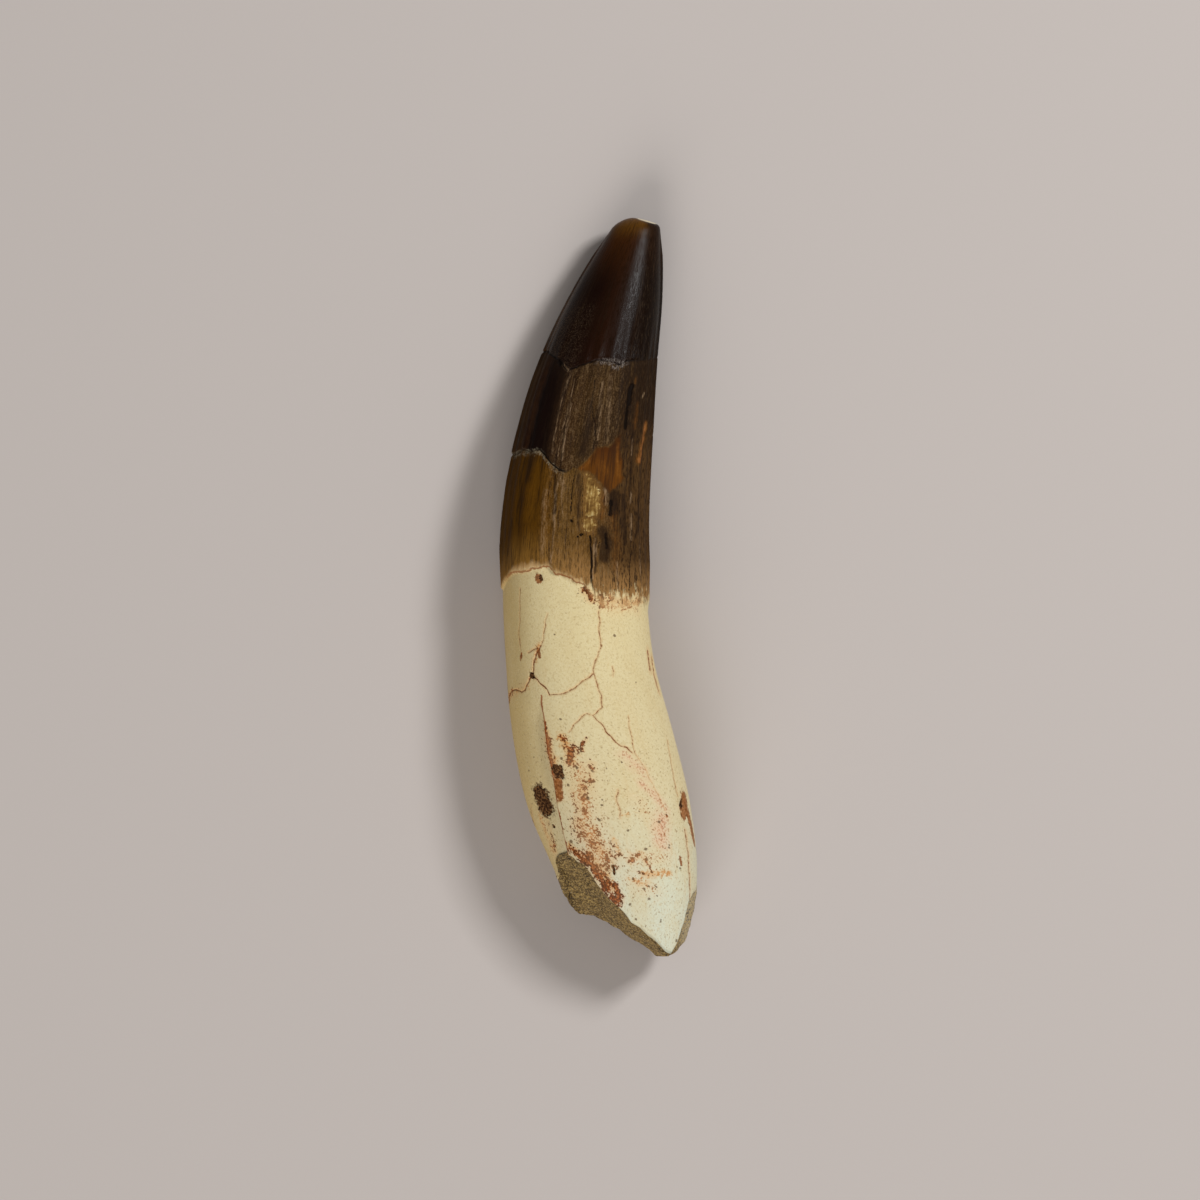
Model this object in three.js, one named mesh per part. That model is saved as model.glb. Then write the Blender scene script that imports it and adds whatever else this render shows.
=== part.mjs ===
import * as THREE from 'three';
import { mergeVertices } from 'three/addons/utils/BufferGeometryUtils.js';

// A fossil spinosaurus tooth with a little of its sandstone matrix, lying on its side.
// +Y runs from the broken root towards the tip and +Z is up. The origin is on the resting plane,
// under the middle of the fossil. Every size is in millimetres and every angle round the tooth is in
// degrees: 0 is its right edge, 90 the upper face, 180 the left edge and 270 the underside.

// Sections of the tooth, one every SECTION_STEP from the tip to the root end.
const FIRST_SECTION_Y = 50;
const SECTION_STEP = 10;
const SECTIONS = [
  { sideways: 5.7, width: 5.4, thickness: 5.0, lift: 2.3 },
  { sideways: 2.5, width: 11.8, thickness: 9.8, lift: 0.6 },
  { sideways: -0.2, width: 15.8, thickness: 13.1, lift: -0.35 },
  { sideways: -2.0, width: 18.2, thickness: 15.0, lift: -0.05 },
  { sideways: -3.1, width: 19.4, thickness: 16.0, lift: 0.05 },
  { sideways: -3.2, width: 20.1, thickness: 16.6, lift: -0.25 },
  { sideways: -2.5, width: 20.6, thickness: 16.9, lift: 0.0 },
  { sideways: -0.7, width: 22.0, thickness: 17.3, lift: 0.0 },
  { sideways: 1.5, width: 22.2, thickness: 17.0, lift: -0.2 },
  { sideways: 4.0, width: 18.8, thickness: 14.4, lift: 0.5 },
  { sideways: 4.3, width: 12.4, thickness: 8.6, lift: 3.0 },
];
const UNDERSIDE_SQUARENESS = 0.8;

// The blunt tip, and the worn facet that slants across it.
const TIP_Y = 50.2;
const TIP_ROUNDING = 1.7;
const FACET_POINT = new THREE.Vector3(6.6, 49.75, 5);
const FACET_NORMAL = new THREE.Vector3(0.36, 0.9, 0.24).normalize();

// Lines that run round the tooth, as pairs of angle and Y.
const UPPER_CRACK = [
  [0, 31.0], [60, 30.4], [90, 30.6], [122, 29.3], [150, 30.8], [180, 31.9], [225, 30.6], [270, 29.6], [315, 30.8],
];
const LOWER_CRACK = [
  [0, 21.0], [60, 20.4], [92, 16.6], [108, 15.5], [125, 17.1], [152, 19.0], [180, 18.2], [230, 17.6],
  [270, 19.6], [320, 18.9],
];
const ENAMEL_EDGE = [
  [0, -1.8], [35, -1.9], [60, -3.0], [75, -1.4], [90, 0.6], [120, 2.7], [150, 2.2], [180, 0.6], [215, 1.4],
  [250, 2.1], [290, -1.0], [330, -2.6],
];
const BREAK_EDGE = [
  [0, -41.0], [30, -44.0], [45, -47.5], [56, -49.3], [75, -46.0], [95, -42.6], [115, -38.6], [132, -36.7],
  [150, -36.2], [166, -37.4], [180, -39.6], [215, -41.0], [250, -43.2], [285, -45.6], [305, -46.4], [330, -43.4],
];
const END_EDGE = [
  [0, -46.4], [30, -48.6], [56, -50.2], [75, -47.6], [95, -44.6], [120, -43.4], [150, -43.0], [180, -42.4],
  [215, -43.8], [240, -45.2], [270, -47.0], [300, -49.0], [330, -48.8],
];

// Relief of the crown: ridged flutes, a keel along each edge and the two old breaks across it.
const FLUTES = 24;
const FLUTE_DEPTH = 0.3;
const KEEL_HEIGHT = 0.3;
const CRACK_DEPTH = 0.3;
const CRACK_HALF_WIDTH = 0.4;
const ENAMEL_THICKNESS = 0.28;

// Places where the surface is chipped, pitted or swollen: centre in plan, half-lengths along and across,
// the turn of the long way from +Y, and how far it sinks. side 1 is the upper face and -1 the underside.
const HOLLOWS = [
  { x: 0.8, y: 16.4, along: 3.4, across: 3.0, turn: -30, sink: 0.45, side: 1 },
  { x: -0.5, y: 11.6, along: 4.2, across: 1.5, turn: 0, sink: 0.4, side: 1 },
  { x: 4.9, y: 18.6, along: 4.5, across: 1.1, turn: 10, sink: 0.35, side: 1 },
  { x: -7.9, y: -28.7, along: 2.6, across: 1.6, turn: 15, sink: 0.3, side: 1 },
  { x: 11.6, y: -28.8, along: 2.8, across: 1.3, turn: 10, sink: 0.35, side: 1 },
  { x: -1.6, y: -20.4, along: 3.4, across: 1.4, turn: 20, sink: -0.25, side: 1 },
  { x: 2.5, y: -22.0, along: 8.0, across: 2.4, turn: 20, sink: 0.3, side: -1 },
  { x: -5.0, y: 24.0, along: 4.0, across: 1.8, turn: -15, sink: 0.4, side: -1 },
  { x: 6.5, y: -35.0, along: 3.5, across: 2.2, turn: 35, sink: 0.35, side: -1 },
];

// The long crack down the upper left of the root. What lies to its left has settled a little.
const LEDGE = new THREE.SplineCurve([
  new THREE.Vector2(-7.8, -14.5),
  new THREE.Vector2(-6.9, -21.0),
  new THREE.Vector2(-5.6, -29.0),
  new THREE.Vector2(-4.1, -36.5),
]);
const LEDGE_DROP = 0.45;
const LEDGE_FADE = 5;

// The broken root end: the wall left round the pulp cavity, and the sandstone that fills it.
const WALL = 0.9;
const CAVITY_TOP = new THREE.Vector3(4.0, -35.5, 6.6);
const MATRIX_GAP = 0.32;
const MATRIX_RECESS = 0.35;
const MATRIX_END = new THREE.Vector3(8.0, -49.0, 5.8);
const MATRIX_ROUNDING = 0.9;
const MATRIX_LUMPS = 0.28;

const SEGMENTS_ROUND = 72;
const MATRIX_SEGMENTS_ROUND = 48;

const enamelAndDentine = new THREE.MeshStandardMaterial({ color: 0xcdbb8e, roughness: 0.5, metalness: 0 });
const sandstone = new THREE.MeshStandardMaterial({ color: 0x5c4f3a, roughness: 0.95, metalness: 0 });

const lerp = THREE.MathUtils.lerp;
const smoothstep = THREE.MathUtils.smoothstep;
const degToRad = THREE.MathUtils.degToRad;

const spine = new THREE.CatmullRomCurve3(
  SECTIONS.map((s, i) => new THREE.Vector3(s.sideways, FIRST_SECTION_Y - i * SECTION_STEP, s.lift)),
  false,
  'catmullrom',
);
const girth = new THREE.CatmullRomCurve3(
  SECTIONS.map((s) => new THREE.Vector3(s.width / 2, s.thickness / 2, 0)),
  false,
  'catmullrom',
);

// The Y of a line that runs round the tooth, eased between its two nearest points.
function lineY(line, angle) {
  const last = line.length - 1;
  const next = line.findIndex(([a]) => a > angle);
  const [a0, y0] = line[next === -1 ? last : next - 1];
  const [a1, y1] = next === -1 ? [line[0][0] + 360, line[0][1]] : line[next];
  const share = (angle - a0) / (a1 - a0);
  return lerp(y0, y1, smoothstep(share, 0, 1));
}

// How far the flutes and keels stand from the plain oval at this angle and Y.
function crownRelief(angle, y) {
  const enamelY = lineY(ENAMEL_EDGE, angle);
  const fluted = smoothstep(y, enamelY + 0.5, enamelY + 4) * (1 - smoothstep(y, 28, 38));
  const flute = -FLUTE_DEPTH * fluted * (0.5 - 0.5 * Math.cos(degToRad(angle) * FLUTES));
  const fromEdge = Math.min(angle % 180, 180 - (angle % 180));
  const keeled = smoothstep(y, enamelY, enamelY + 6) * (1 - smoothstep(y, 44, 49));
  const keel = KEEL_HEIGHT * keeled * (1 - smoothstep(fromEdge, 0, 6));
  return flute + keel;
}

// How far the surface sinks at a point, from the hollows and the ledge.
function sinkAt(x, y, angle) {
  const side = angle > 0 && angle < 180 ? 1 : -1;
  let sink = 0;
  for (const hollow of HOLLOWS) {
    if (hollow.side !== side) continue;
    const turn = degToRad(hollow.turn);
    const dx = x - hollow.x;
    const dy = y - hollow.y;
    const along = (dy * Math.cos(turn) - dx * Math.sin(turn)) / hollow.along;
    const across = (dx * Math.cos(turn) + dy * Math.sin(turn)) / hollow.across;
    sink += hollow.sink * (1 - smoothstep(Math.hypot(along, across), 0.45, 1));
  }
  const ledgeTop = LEDGE.points[0].y;
  const ledgeEnd = LEDGE.points[LEDGE.points.length - 1].y;
  if (side === 1 && y < ledgeTop && y > ledgeEnd) {
    const ledgeX = LEDGE.getPoint((ledgeTop - y) / (ledgeTop - ledgeEnd)).x;
    const left = ledgeX - x;
    const eased = smoothstep(ledgeTop - y, 0, 4);
    sink += LEDGE_DROP * eased * smoothstep(left, 0, 0.6) * (1 - smoothstep(left, 0.6, LEDGE_FADE));
  }
  return sink;
}

// A point of the tooth's skin: the oval section at this Y, drawn in by inset all round.
function skinPoint(angle, y, inset) {
  const length = (SECTIONS.length - 1) * SECTION_STEP;
  const along = THREE.MathUtils.clamp((FIRST_SECTION_Y - y) / length, 0, 1);
  const centre = spine.getPoint(along);
  const half = girth.getPoint(along);
  const beyond = TIP_Y - y;
  const round = beyond < TIP_ROUNDING ? Math.sqrt(Math.max(0, 1 - (1 - beyond / TIP_ROUNDING) ** 2)) : 1;
  const cos = Math.cos(degToRad(angle));
  const sin = Math.sin(degToRad(angle));
  const power = sin < 0 ? UNDERSIDE_SQUARENESS : 1;
  const across = (half.x - inset) * round * Math.sign(cos) * Math.abs(cos) ** power;
  const up = (half.y - inset) * round * Math.sign(sin) * Math.abs(sin) ** power;
  return new THREE.Vector3(centre.x + across, y, centre.z + half.y + up);
}

// Small uneven lumps, repeatable everywhere.
function lumps(p) {
  const slow = Math.sin(p.x * 1.7 + p.y * 0.9) * Math.sin(p.y * 1.3 - p.z * 1.1 + 2.0);
  const quick = Math.sin(p.x * 3.9 - p.z * 2.7 + 1.0) * Math.sin(p.y * 3.3 + p.z * 3.1);
  return 0.6 * slow + 0.4 * quick;
}

// A drum of unit radius with one ring of points for each row, closed at both poles, each point of
// which is then carried to its place by place(row, angle).
function wrapDrum(rows, segments, place) {
  const profile = rows.map((row, i) => new THREE.Vector2(i === 0 || i === rows.length - 1 ? 0 : 1, -i));
  const drum = new THREE.LatheGeometry(profile.reverse(), segments);
  const at = drum.attributes.position;
  for (let i = 0; i < at.count; i += 1) {
    const row = rows[Math.round(-at.getY(i))];
    const turned = THREE.MathUtils.radToDeg(Math.atan2(at.getZ(i), at.getX(i)));
    const angle = (Math.round((turned / 360) * segments) * 360) / segments;
    const p = place(row, (angle + 360) % 360);
    at.setXYZ(i, p.x, p.y, p.z);
  }
  drum.deleteAttribute('normal');
  drum.deleteAttribute('uv');
  const merged = mergeVertices(drum, 0.001);
  merged.computeVertexNormals();
  return merged;
}

// Rows of points between two lines round the tooth, the first line's own row left out.
function band(from, to, count) {
  return Array.from({ length: count }, (_, i) => ({ from, to, share: (i + 1) / count, shift: 0, inset: 0 }));
}

// A narrow groove along a line: a row on each lip and one at its bottom.
function groove(line) {
  return [-1, 0, 1].map((lip) => ({
    from: line,
    to: line,
    share: 0,
    shift: -lip * CRACK_HALF_WIDTH,
    inset: lip === 0 ? CRACK_DEPTH : 0,
  }));
}

const TIP_LINE = [[0, TIP_Y]];
const SHOULDER_LINE = [[0, TIP_Y - 2.6]];

function toothRows() {
  const tip = [0, 0.08, 0.4, 1.0, 1.7].map((below) => (
    { from: TIP_LINE, to: TIP_LINE, share: 0, shift: -below, inset: 0 }
  ));
  const enamelLip = [0, 0.3].map((below) => (
    { from: ENAMEL_EDGE, to: ENAMEL_EDGE, share: 0, shift: -below, inset: below === 0 ? 0 : ENAMEL_THICKNESS }
  ));
  const root = band(ENAMEL_EDGE, BREAK_EDGE, 20).map((row) => (
    { ...row, inset: ENAMEL_THICKNESS * (1 - smoothstep(row.share, 0.05, 0.6)) }
  ));
  const cavity = [0, 0.4, 0.75, 1].map((inward) => ({ cavity: inward }));
  return [
    ...tip,
    ...band(TIP_LINE, SHOULDER_LINE, 1),
    ...band(SHOULDER_LINE, UPPER_CRACK, 7).slice(0, -1),
    ...groove(UPPER_CRACK),
    ...band(UPPER_CRACK, LOWER_CRACK, 4).slice(0, -1),
    ...groove(LOWER_CRACK),
    ...band(LOWER_CRACK, ENAMEL_EDGE, 6).slice(0, -1),
    ...enamelLip,
    ...root,
    ...cavity,
  ];
}

function toothPoint(row, angle) {
  if (row.cavity !== undefined) {
    const rim = skinPoint(angle, lineY(BREAK_EDGE, angle) + 0.1, WALL);
    return rim.lerp(CAVITY_TOP, row.cavity);
  }
  const y = lerp(lineY(row.from, angle), lineY(row.to, angle), row.share) + row.shift;
  const plain = skinPoint(angle, y, 0);
  const inset = row.inset + sinkAt(plain.x, y, angle) - crownRelief(angle, y);
  const p = skinPoint(angle, y, inset);
  const proud = p.clone().sub(FACET_POINT).dot(FACET_NORMAL);
  if (proud > 0) p.addScaledVector(FACET_NORMAL, -proud);
  p.z = Math.max(p.z, 0);
  return p;
}

function matrixRows() {
  return [
    ...[1, 0.75, 0.4, 0].map((inward) => ({ cavity: inward })),
    { share: 0 },
    { share: 0.35 },
    { share: 0.75 },
    { share: 1 },
    ...[0.12, 0.35, 0.7, 1].map((inward) => ({ end: inward })),
  ];
}

function matrixPoint(row, angle) {
  const breakY = lineY(BREAK_EDGE, angle) - MATRIX_GAP;
  const endY = Math.min(lineY(END_EDGE, angle), breakY - 0.4);
  if (row.cavity !== undefined) {
    const top = CAVITY_TOP.clone().setY(CAVITY_TOP.y - 2 * MATRIX_GAP);
    return skinPoint(angle, breakY, WALL + MATRIX_GAP).lerp(top, row.cavity);
  }
  const edge = row.end === undefined ? row.share : 1;
  const rounded = MATRIX_ROUNDING * smoothstep(edge, 0.5, 1);
  const p = skinPoint(angle, lerp(breakY, endY, edge), MATRIX_RECESS + rounded);
  if (row.end !== undefined) p.lerp(MATRIX_END, row.end);
  const swell = MATRIX_LUMPS * lumps(p) * (row.share === 0 ? 0 : 1);
  const outward = p.clone().sub(CAVITY_TOP).normalize();
  p.addScaledVector(outward, swell);
  p.z = Math.max(p.z, 0);
  return p;
}

const tooth = new THREE.Mesh(wrapDrum(toothRows(), SEGMENTS_ROUND, toothPoint), enamelAndDentine);
tooth.name = 'tooth';

const matrix = new THREE.Mesh(wrapDrum(matrixRows(), MATRIX_SEGMENTS_ROUND, matrixPoint), sandstone);
matrix.name = 'matrix';

const fossil = new THREE.Group();
fossil.add(tooth, matrix);

export default fossil;
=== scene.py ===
import math

import bmesh
import bpy
import numpy as np
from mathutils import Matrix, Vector, noise


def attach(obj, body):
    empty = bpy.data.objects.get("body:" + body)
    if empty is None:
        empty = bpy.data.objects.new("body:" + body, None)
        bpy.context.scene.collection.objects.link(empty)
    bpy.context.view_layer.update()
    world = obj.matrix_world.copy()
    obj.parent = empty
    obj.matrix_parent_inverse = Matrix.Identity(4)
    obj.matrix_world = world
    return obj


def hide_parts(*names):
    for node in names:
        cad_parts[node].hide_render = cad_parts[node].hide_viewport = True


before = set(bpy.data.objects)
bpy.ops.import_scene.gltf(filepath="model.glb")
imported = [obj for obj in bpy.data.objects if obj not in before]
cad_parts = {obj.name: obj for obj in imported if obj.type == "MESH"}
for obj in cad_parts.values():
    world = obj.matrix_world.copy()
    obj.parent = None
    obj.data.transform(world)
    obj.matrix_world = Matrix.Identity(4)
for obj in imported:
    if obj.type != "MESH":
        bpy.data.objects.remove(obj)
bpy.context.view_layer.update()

# The tooth: a dark enamel crown on a cream dentine root, which grew as one piece and turned to stone.
# It is an oval tube, bowed and tapered, so it is drawn as its unrolled skin: a flat sheet that is cut finer
# along the cracks and edges, wrapped round the sections and closed over the tip and the hollow root end.
MM = 0.001
FIRST_SECTION_Y = 50
SECTION_STEP = 10
SECTIONS_MM = np.array([  # sideways, width, thickness and lift of the oval, every 10 mm from the tip down
    (5.5, 5.7, 5, 2.3),
    (2.5, 11.8, 9.8, 0.6),
    (-0.2, 15.8, 13.1, -0.35),
    (-2, 18.2, 15, -0.05),
    (-3.1, 19.4, 16, 0.05),
    (-3.2, 20.1, 16.6, -0.25),
    (-2.5, 20.6, 16.9, 0),
    (-0.7, 22, 17.3, 0),
    (1.5, 22.2, 17, -0.2),
    (4, 18.8, 14.4, 0.5),
    (5.1, 13.2, 8.6, 3),
])
UNDERSIDE_SQUARENESS = 0.8
TIP_Y = 50.2
TIP_ROUNDING = 1.7
TIP_BLUNTNESS = 0.46
FACET_POINT = np.array((6.5, 49.66, 5.0))
FACET_NORMAL = np.array((0.28, 0.95, 0.1)) / math.hypot(0.28, 0.95, 0.1)
FACET_EDGE = 0.3
CAVITY_TOP = Vector((4.0, -35.5, 6.6)) * MM


def smooth(value, low, high):
    """0 below low, 1 above high and eased between them."""
    share = np.clip((np.asarray(value, float) - low) / (high - low), 0, 1)
    return share * share * (3 - 2 * share)


def section_at(y):
    """Sideways, half width, half thickness and lift at each y, on a smooth curve through the sections."""
    before = 2 * SECTIONS_MM[0] - SECTIONS_MM[1]
    after = 2 * SECTIONS_MM[-1] - SECTIONS_MM[-2]
    knots = np.vstack([before, SECTIONS_MM, after])
    place = np.clip((FIRST_SECTION_Y - np.asarray(y, float)) / SECTION_STEP, 0, len(SECTIONS_MM) - 1.000001)
    index = place.astype(int)
    t = (place - index)[..., None]
    a, b, c, d = (knots[index + step] for step in range(4))
    into = (c - a) / 2
    out = (d - b) / 2
    value = b + t * (into + t * (3 * (c - b) - 2 * into - out + t * (2 * (b - c) + into + out)))
    return value[..., 0], value[..., 1] / 2, value[..., 2] / 2, value[..., 3]


def skin(angle, y, inset):
    """Points of the skin in millimetres: angle is 0 at the right edge, 90 on top and 270 underneath."""
    centre, half_width, half_thickness, lift = section_at(y)
    beyond = np.clip((TIP_Y - y) / TIP_ROUNDING, 0, 1)
    rounded = np.clip(1 - (1 - beyond) ** 2, 0, 1) ** TIP_BLUNTNESS
    cos = np.cos(np.radians(angle))
    sin = np.sin(np.radians(angle))
    power = np.where(sin < 0, UNDERSIDE_SQUARENESS, 1)
    across = (half_width - inset) * rounded * np.sign(cos) * np.abs(cos) ** power
    up = (half_thickness - inset) * rounded * np.sign(sin) * np.abs(sin) ** power
    return np.stack([centre + across, np.broadcast_to(y, across.shape), lift + half_thickness + up], -1)


def angle_of(x, y, side):
    """The angle of a point seen in plan, on the upper face (side 1) or the underside (side -1)."""
    centre, half_width, _, _ = section_at(y)
    share = np.clip((np.asarray(x, float) - centre) / half_width, -1, 1)
    if side > 0:
        return np.degrees(np.arccos(share))
    cos = np.sign(share) * np.abs(share) ** (1 / UNDERSIDE_SQUARENESS)
    return 360 - np.degrees(np.arccos(cos))


def unroll(angle, y, side):
    """Distance round the skin in millimetres from the middle of that face."""
    _, half_width, half_thickness, _ = section_at(y)
    middle = 90 if side > 0 else 270
    turned = (np.asarray(angle, float) - middle + 180) % 360 - 180
    return np.radians(turned) * np.hypot(half_width, half_thickness) / math.sqrt(2)


def round_line(upper, under):
    """A line all round the tooth from plan points on the upper face and on the underside."""
    angles = [float(angle_of(x, y, 1)) for x, y in upper] + [float(angle_of(x, y, -1)) for x, y in under]
    heights = [y for _, y in upper] + [y for _, y in under]
    order = np.argsort(angles)
    return np.array(angles)[order], np.array(heights, float)[order]


def line_y(line, angle):
    return np.interp(np.asarray(angle, float) % 360, line[0], line[1], period=360)


# The lines that run round the tooth: two old breaks in the crown, the ragged edge of the enamel, the line
# where the brown of the crown begins and the broken edge of the root. All are read in plan, first on the
# upper face and then on the hidden underside.
UPPER_BREAK = round_line(
    [(8, 31.1), (5.6, 30.6), (3.7, 30.5), (2.9, 30), (1.4, 30.5), (-0.2, 30.6), (-1.7, 30.1), (-3.2, 29.6),
     (-4.3, 29.2), (-5.3, 30.6), (-7, 32), (-7.7, 31.8)],
    [(-7, 31), (-4.4, 30), (-1.8, 30.4), (0.8, 29.2), (3.4, 30.2), (6, 30.8)],
)
LOWER_BREAK = round_line(
    [(7, 20.8), (4.5, 20.1), (3, 20.3), (2.2, 20), (1.4, 19), (-0.3, 18.9), (-1, 17.7), (-2.8, 16),
     (-3.4, 16.1), (-4.4, 15.5), (-5.4, 15.8), (-6.4, 16.6), (-7.4, 17.9), (-8.2, 18.6), (-9.2, 18.3),
     (-10.4, 18.6), (-11.2, 18.1)],
    [(-10, 17.6), (-7.4, 16.9), (-4.6, 18.6), (-2.2, 19.4), (0.6, 19.9), (3, 18.4), (5.6, 19.8)],
)
ENAMEL_EDGE = round_line(
    [(6.8, -1.9), (6.2, -1.9), (4.8, -2.7), (3.2, -3), (1.6, -2.6), (0.5, -2.6), (-0.2, -1.6), (-0.9, -1.3),
     (-1.4, -0.9), (-1.5, -0.2), (-1.9, 0.4), (-2.4, 0.6), (-3.1, 0.7), (-3.6, 1.2), (-4.4, 1.5),
     (-4.9, 1.7), (-5.6, 1.7), (-6.1, 2), (-6.3, 2.4), (-6.8, 2.8), (-7.4, 2.8), (-7.8, 2.6), (-9, 2.5),
     (-9.6, 2.2), (-10.4, 2.1), (-11.2, 2.1), (-11.8, 2), (-12.6, 1.2), (-13, 0.4), (-13.2, -0.2)],
    [(-12.4, 0.4), (-10.6, 1.4), (-8.8, 1), (-6.6, 2.2), (-4.6, 2.4), (-3.2, 1.2), (-1.4, 0.4), (0.6, -1.1),
     (2.8, -1.4), (4.8, -2.6), (6.2, -2.2)],
)
BROWN_EDGE = round_line(
    [(6.8, -1.6), (6.2, -1.6), (5, -1.4), (3.6, -1.5), (2.6, -1.2), (1.4, -1.3), (0.2, -0.8), (-0.8, -0.4),
     (-2, 0.5), (-3.4, 0.9), (-5, 1.5), (-6.2, 1.9), (-7, 2.8), (-8.6, 2.9), (-10.4, 2.6), (-11.4, 2.4),
     (-12.2, 1.4), (-13, 0.4), (-13.2, -0.2)],
    [(-12, 1.6), (-9.6, 2.4), (-6.6, 3.2), (-3.6, 2.6), (-1.4, 1.6), (0.8, 0.2), (3.4, -0.4), (6, -1.2)],
)
BREAK_EDGE = round_line(
    [(13.35, -40.6), (12.8, -41.3), (12.2, -42.4), (11.9, -43.8), (11.6, -45.2), (11.2, -46.2),
     (10.9, -47.3), (10.5, -48.2), (10.1, -48.9), (9.8, -49.4), (9.2, -49.2), (8.6, -48.6), (7.8, -47.7),
     (6.6, -46.8), (5.6, -45.8), (4.4, -45.1), (3.6, -43.9), (2.6, -42.9), (1.7, -42.2), (0.9, -41.3),
     (-0.3, -39.8), (-1, -38.6), (-1.8, -37.5), (-2.2, -37.1), (-2.8, -37), (-3.3, -36.4), (-4.1, -35.9),
     (-4.6, -36.2), (-5.4, -36.4), (-5.8, -36.9), (-5.8, -37.6), (-5.5, -38.4), (-5.5, -39.2)],
    [(-5, -39.8), (-3.6, -40.4), (-1.4, -41.6), (0.8, -42.2), (3, -43.4), (5.2, -44.4), (7.4, -45.8),
     (9.4, -46.2), (11.2, -45), (12.4, -43.2)],
)

# Every mark of the skin is a stroke: its half width in millimetres, its strength and the plan points it
# passes through, on the upper face (1) or the underside (-1).
CROWN_SPLITS = {
    1: [
        (0.26, 1.7, (4.6, 27.1), (4.35, 26.2), (4.2, 24.8)),
        (0.2, 1.3, (4.1, 24.8), (3.85, 22.8), (3.75, 21.4)),
        (0.16, 1, (-1.15, 6.9), (-1, 5), (-0.9, 3), (-1, 1.2), (-0.7, -0.3)),
        (0.3, 0.75, (1.1, 7.2), (1.2, 5.2)), (0.15, 0.8, (0.2, 6.1), (0.1, 5.3)),
        (0.5, 0.7, (1.8, 11.6), (1.6, 9.8)), (0.14, 0.7, (4.3, 16.8), (4.4, 14)),
        (0.17, 0.7, (4.6, 7.6), (4.5, 4.8), (4.2, 2), (4.2, 0)), (0.14, 0.6, (5.5, 14), (5.4, 9)),
        (0.14, 0.7, (-3.3, 15), (-3.6, 12.6), (-3.7, 10.2)),
        (0.12, 0.5, (-2.15, 15.2), (-2.1, 11), (-2.15, 8)), (0.32, 1, (-5.5, 30.5), (-5.3, 30)),
        (0.24, 1, (-3.7, 9), (-3.6, 8.9)), (0.22, 0.9, (-2.4, 7), (-2.2, 7.1)),
        (0.18, 0.8, (-2.7, 6.8), (-2.8, 6.8)), (0.16, 0.5, (-0.3, 20.5), (-0.9, 24.5), (-0.4, 28)),
    ],
    -1: [
        (0.2, 0.9, (-2, 29), (-2.6, 25), (-2.3, 20)), (0.17, 1, (1.8, 17), (2, 11.5), (1.5, 6.5), (1.8, 1)),
        (0.15, 0.7, (-6.5, 16), (-7.4, 9), (-7.2, 3)),
    ],
}
# Ridges of the enamel, whose crests are painted pale as a painted highlight where they catch the light.
LIT_RIDGES = {
    1: [
        (0.2, 1, (-3.7, 24.6), (-4.3, 21.8), (-4.7, 19.5), (-4.9, 17.2)),
        (0.16, 0.6, (-3.9, 28.4), (-4.7, 26.2), (-5.4, 23.5), (-5.9, 20.5), (-6.3, 18)),
        (0.14, 0.5, (-3.3, 28), (-3.9, 25), (-4.9, 21.5), (-5.5, 17.5)),
        (0.17, 1, (-5.3, 15.1), (-5.9, 12), (-6, 8.1), (-6.2, 5.2), (-6.4, 3.4)),
        (0.15, 0.7, (-4.7, 15.2), (-4.9, 12.5), (-4.9, 10)), (0.5, 0.4, (-7.2, 13), (-7.4, 8), (-7.6, 4.2)),
        (0.14, 0.9, (-0.5, 6.6), (-0.7, 4), (-0.8, 1)), (0.45, 0.3, (0.5, 27.5), (0.3, 24), (-0.1, 20)),
        (0.45, 0.3, (1.6, 28.5), (1.5, 24), (1.2, 19.8)), (0.3, 0.8, (4.5, 12.6), (4.4, 11.4)),
        (0.24, 0.6, (5.6, 5.5), (5.7, 1)), (0.3, 0.6, (2.6, 3.4), (2.8, 0)),
        (0.2, 0.6, (4.6, 20), (4.5, 17.8)), (0.35, 0.8, (4.5, 9.6), (4.5, 6.6)),
        (0.35, 0.8, (-5.1, 14.6), (-4.6, 13.4)), (0.3, 0.9, (1, 13), (1, 11.2)),
        (0.2, 0.8, (-0.3, 5.9), (-0.3, 4.2)), (0.2, 0.8, (-4.85, 30.1), (-4.1, 29.1)),
        (0.2, 0.7, (6.2, 26.2), (6, 25.6)),
    ],
    -1: [
        (0.2, 0.8, (-4, 27), (-5, 20), (-5.6, 12), (-5.4, 4)),
        (0.3, 0.7, (2.6, 26), (1.4, 18), (0.6, 9), (0.8, 2)), (0.4, 0.6, (4.6, 22), (4.4, 12), (4.8, 3)),
    ],
}
DARK_SHADES = {
    1: [
        (0.9, 1.3, (2, 12.3), (2.3, 11.2), (2.2, 10.1)), (0.45, 1, (5.5, 11), (5.5, 7.6)),
        (0.9, 1.1, (0.5, 7.6), (1.2, 6.4), (0.9, 4)), (0.3, 0.9, (-5.85, 15), (-5.8, 12.6), (-5.9, 10)),
        (0.8, 0.7, (-2.7, 15), (-2.6, 9.6)), (0.6, 0.9, (3.5, 12.4), (3.6, 6)),
        (0.4, 0.8, (-0.4, 6.8), (-0.4, 2)), (0.9, 0.6, (4.6, 19), (4.3, 12)), (1, 0.6, (5.6, 12), (5.2, 7)),
        (1.6, 0.7, (-8.8, 18), (-9.6, 14.6)), (1.4, 0.8, (-1.2, 22), (-2.2, 18)),
        (0.9, 0.5, (-1.1, 25), (-1.4, 21)), (0.6, 0.8, (4.7, 21.6), (4.5, 19.4)),
        (1.2, 0.5, (-11.8, 9), (-12.6, 2.5)),
    ],
    -1: [
        (1.6, 0.7, (-7, 16), (-8, 8)), (1.4, 0.6, (3, 14), (2.6, 6)),
    ],
}
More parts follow.
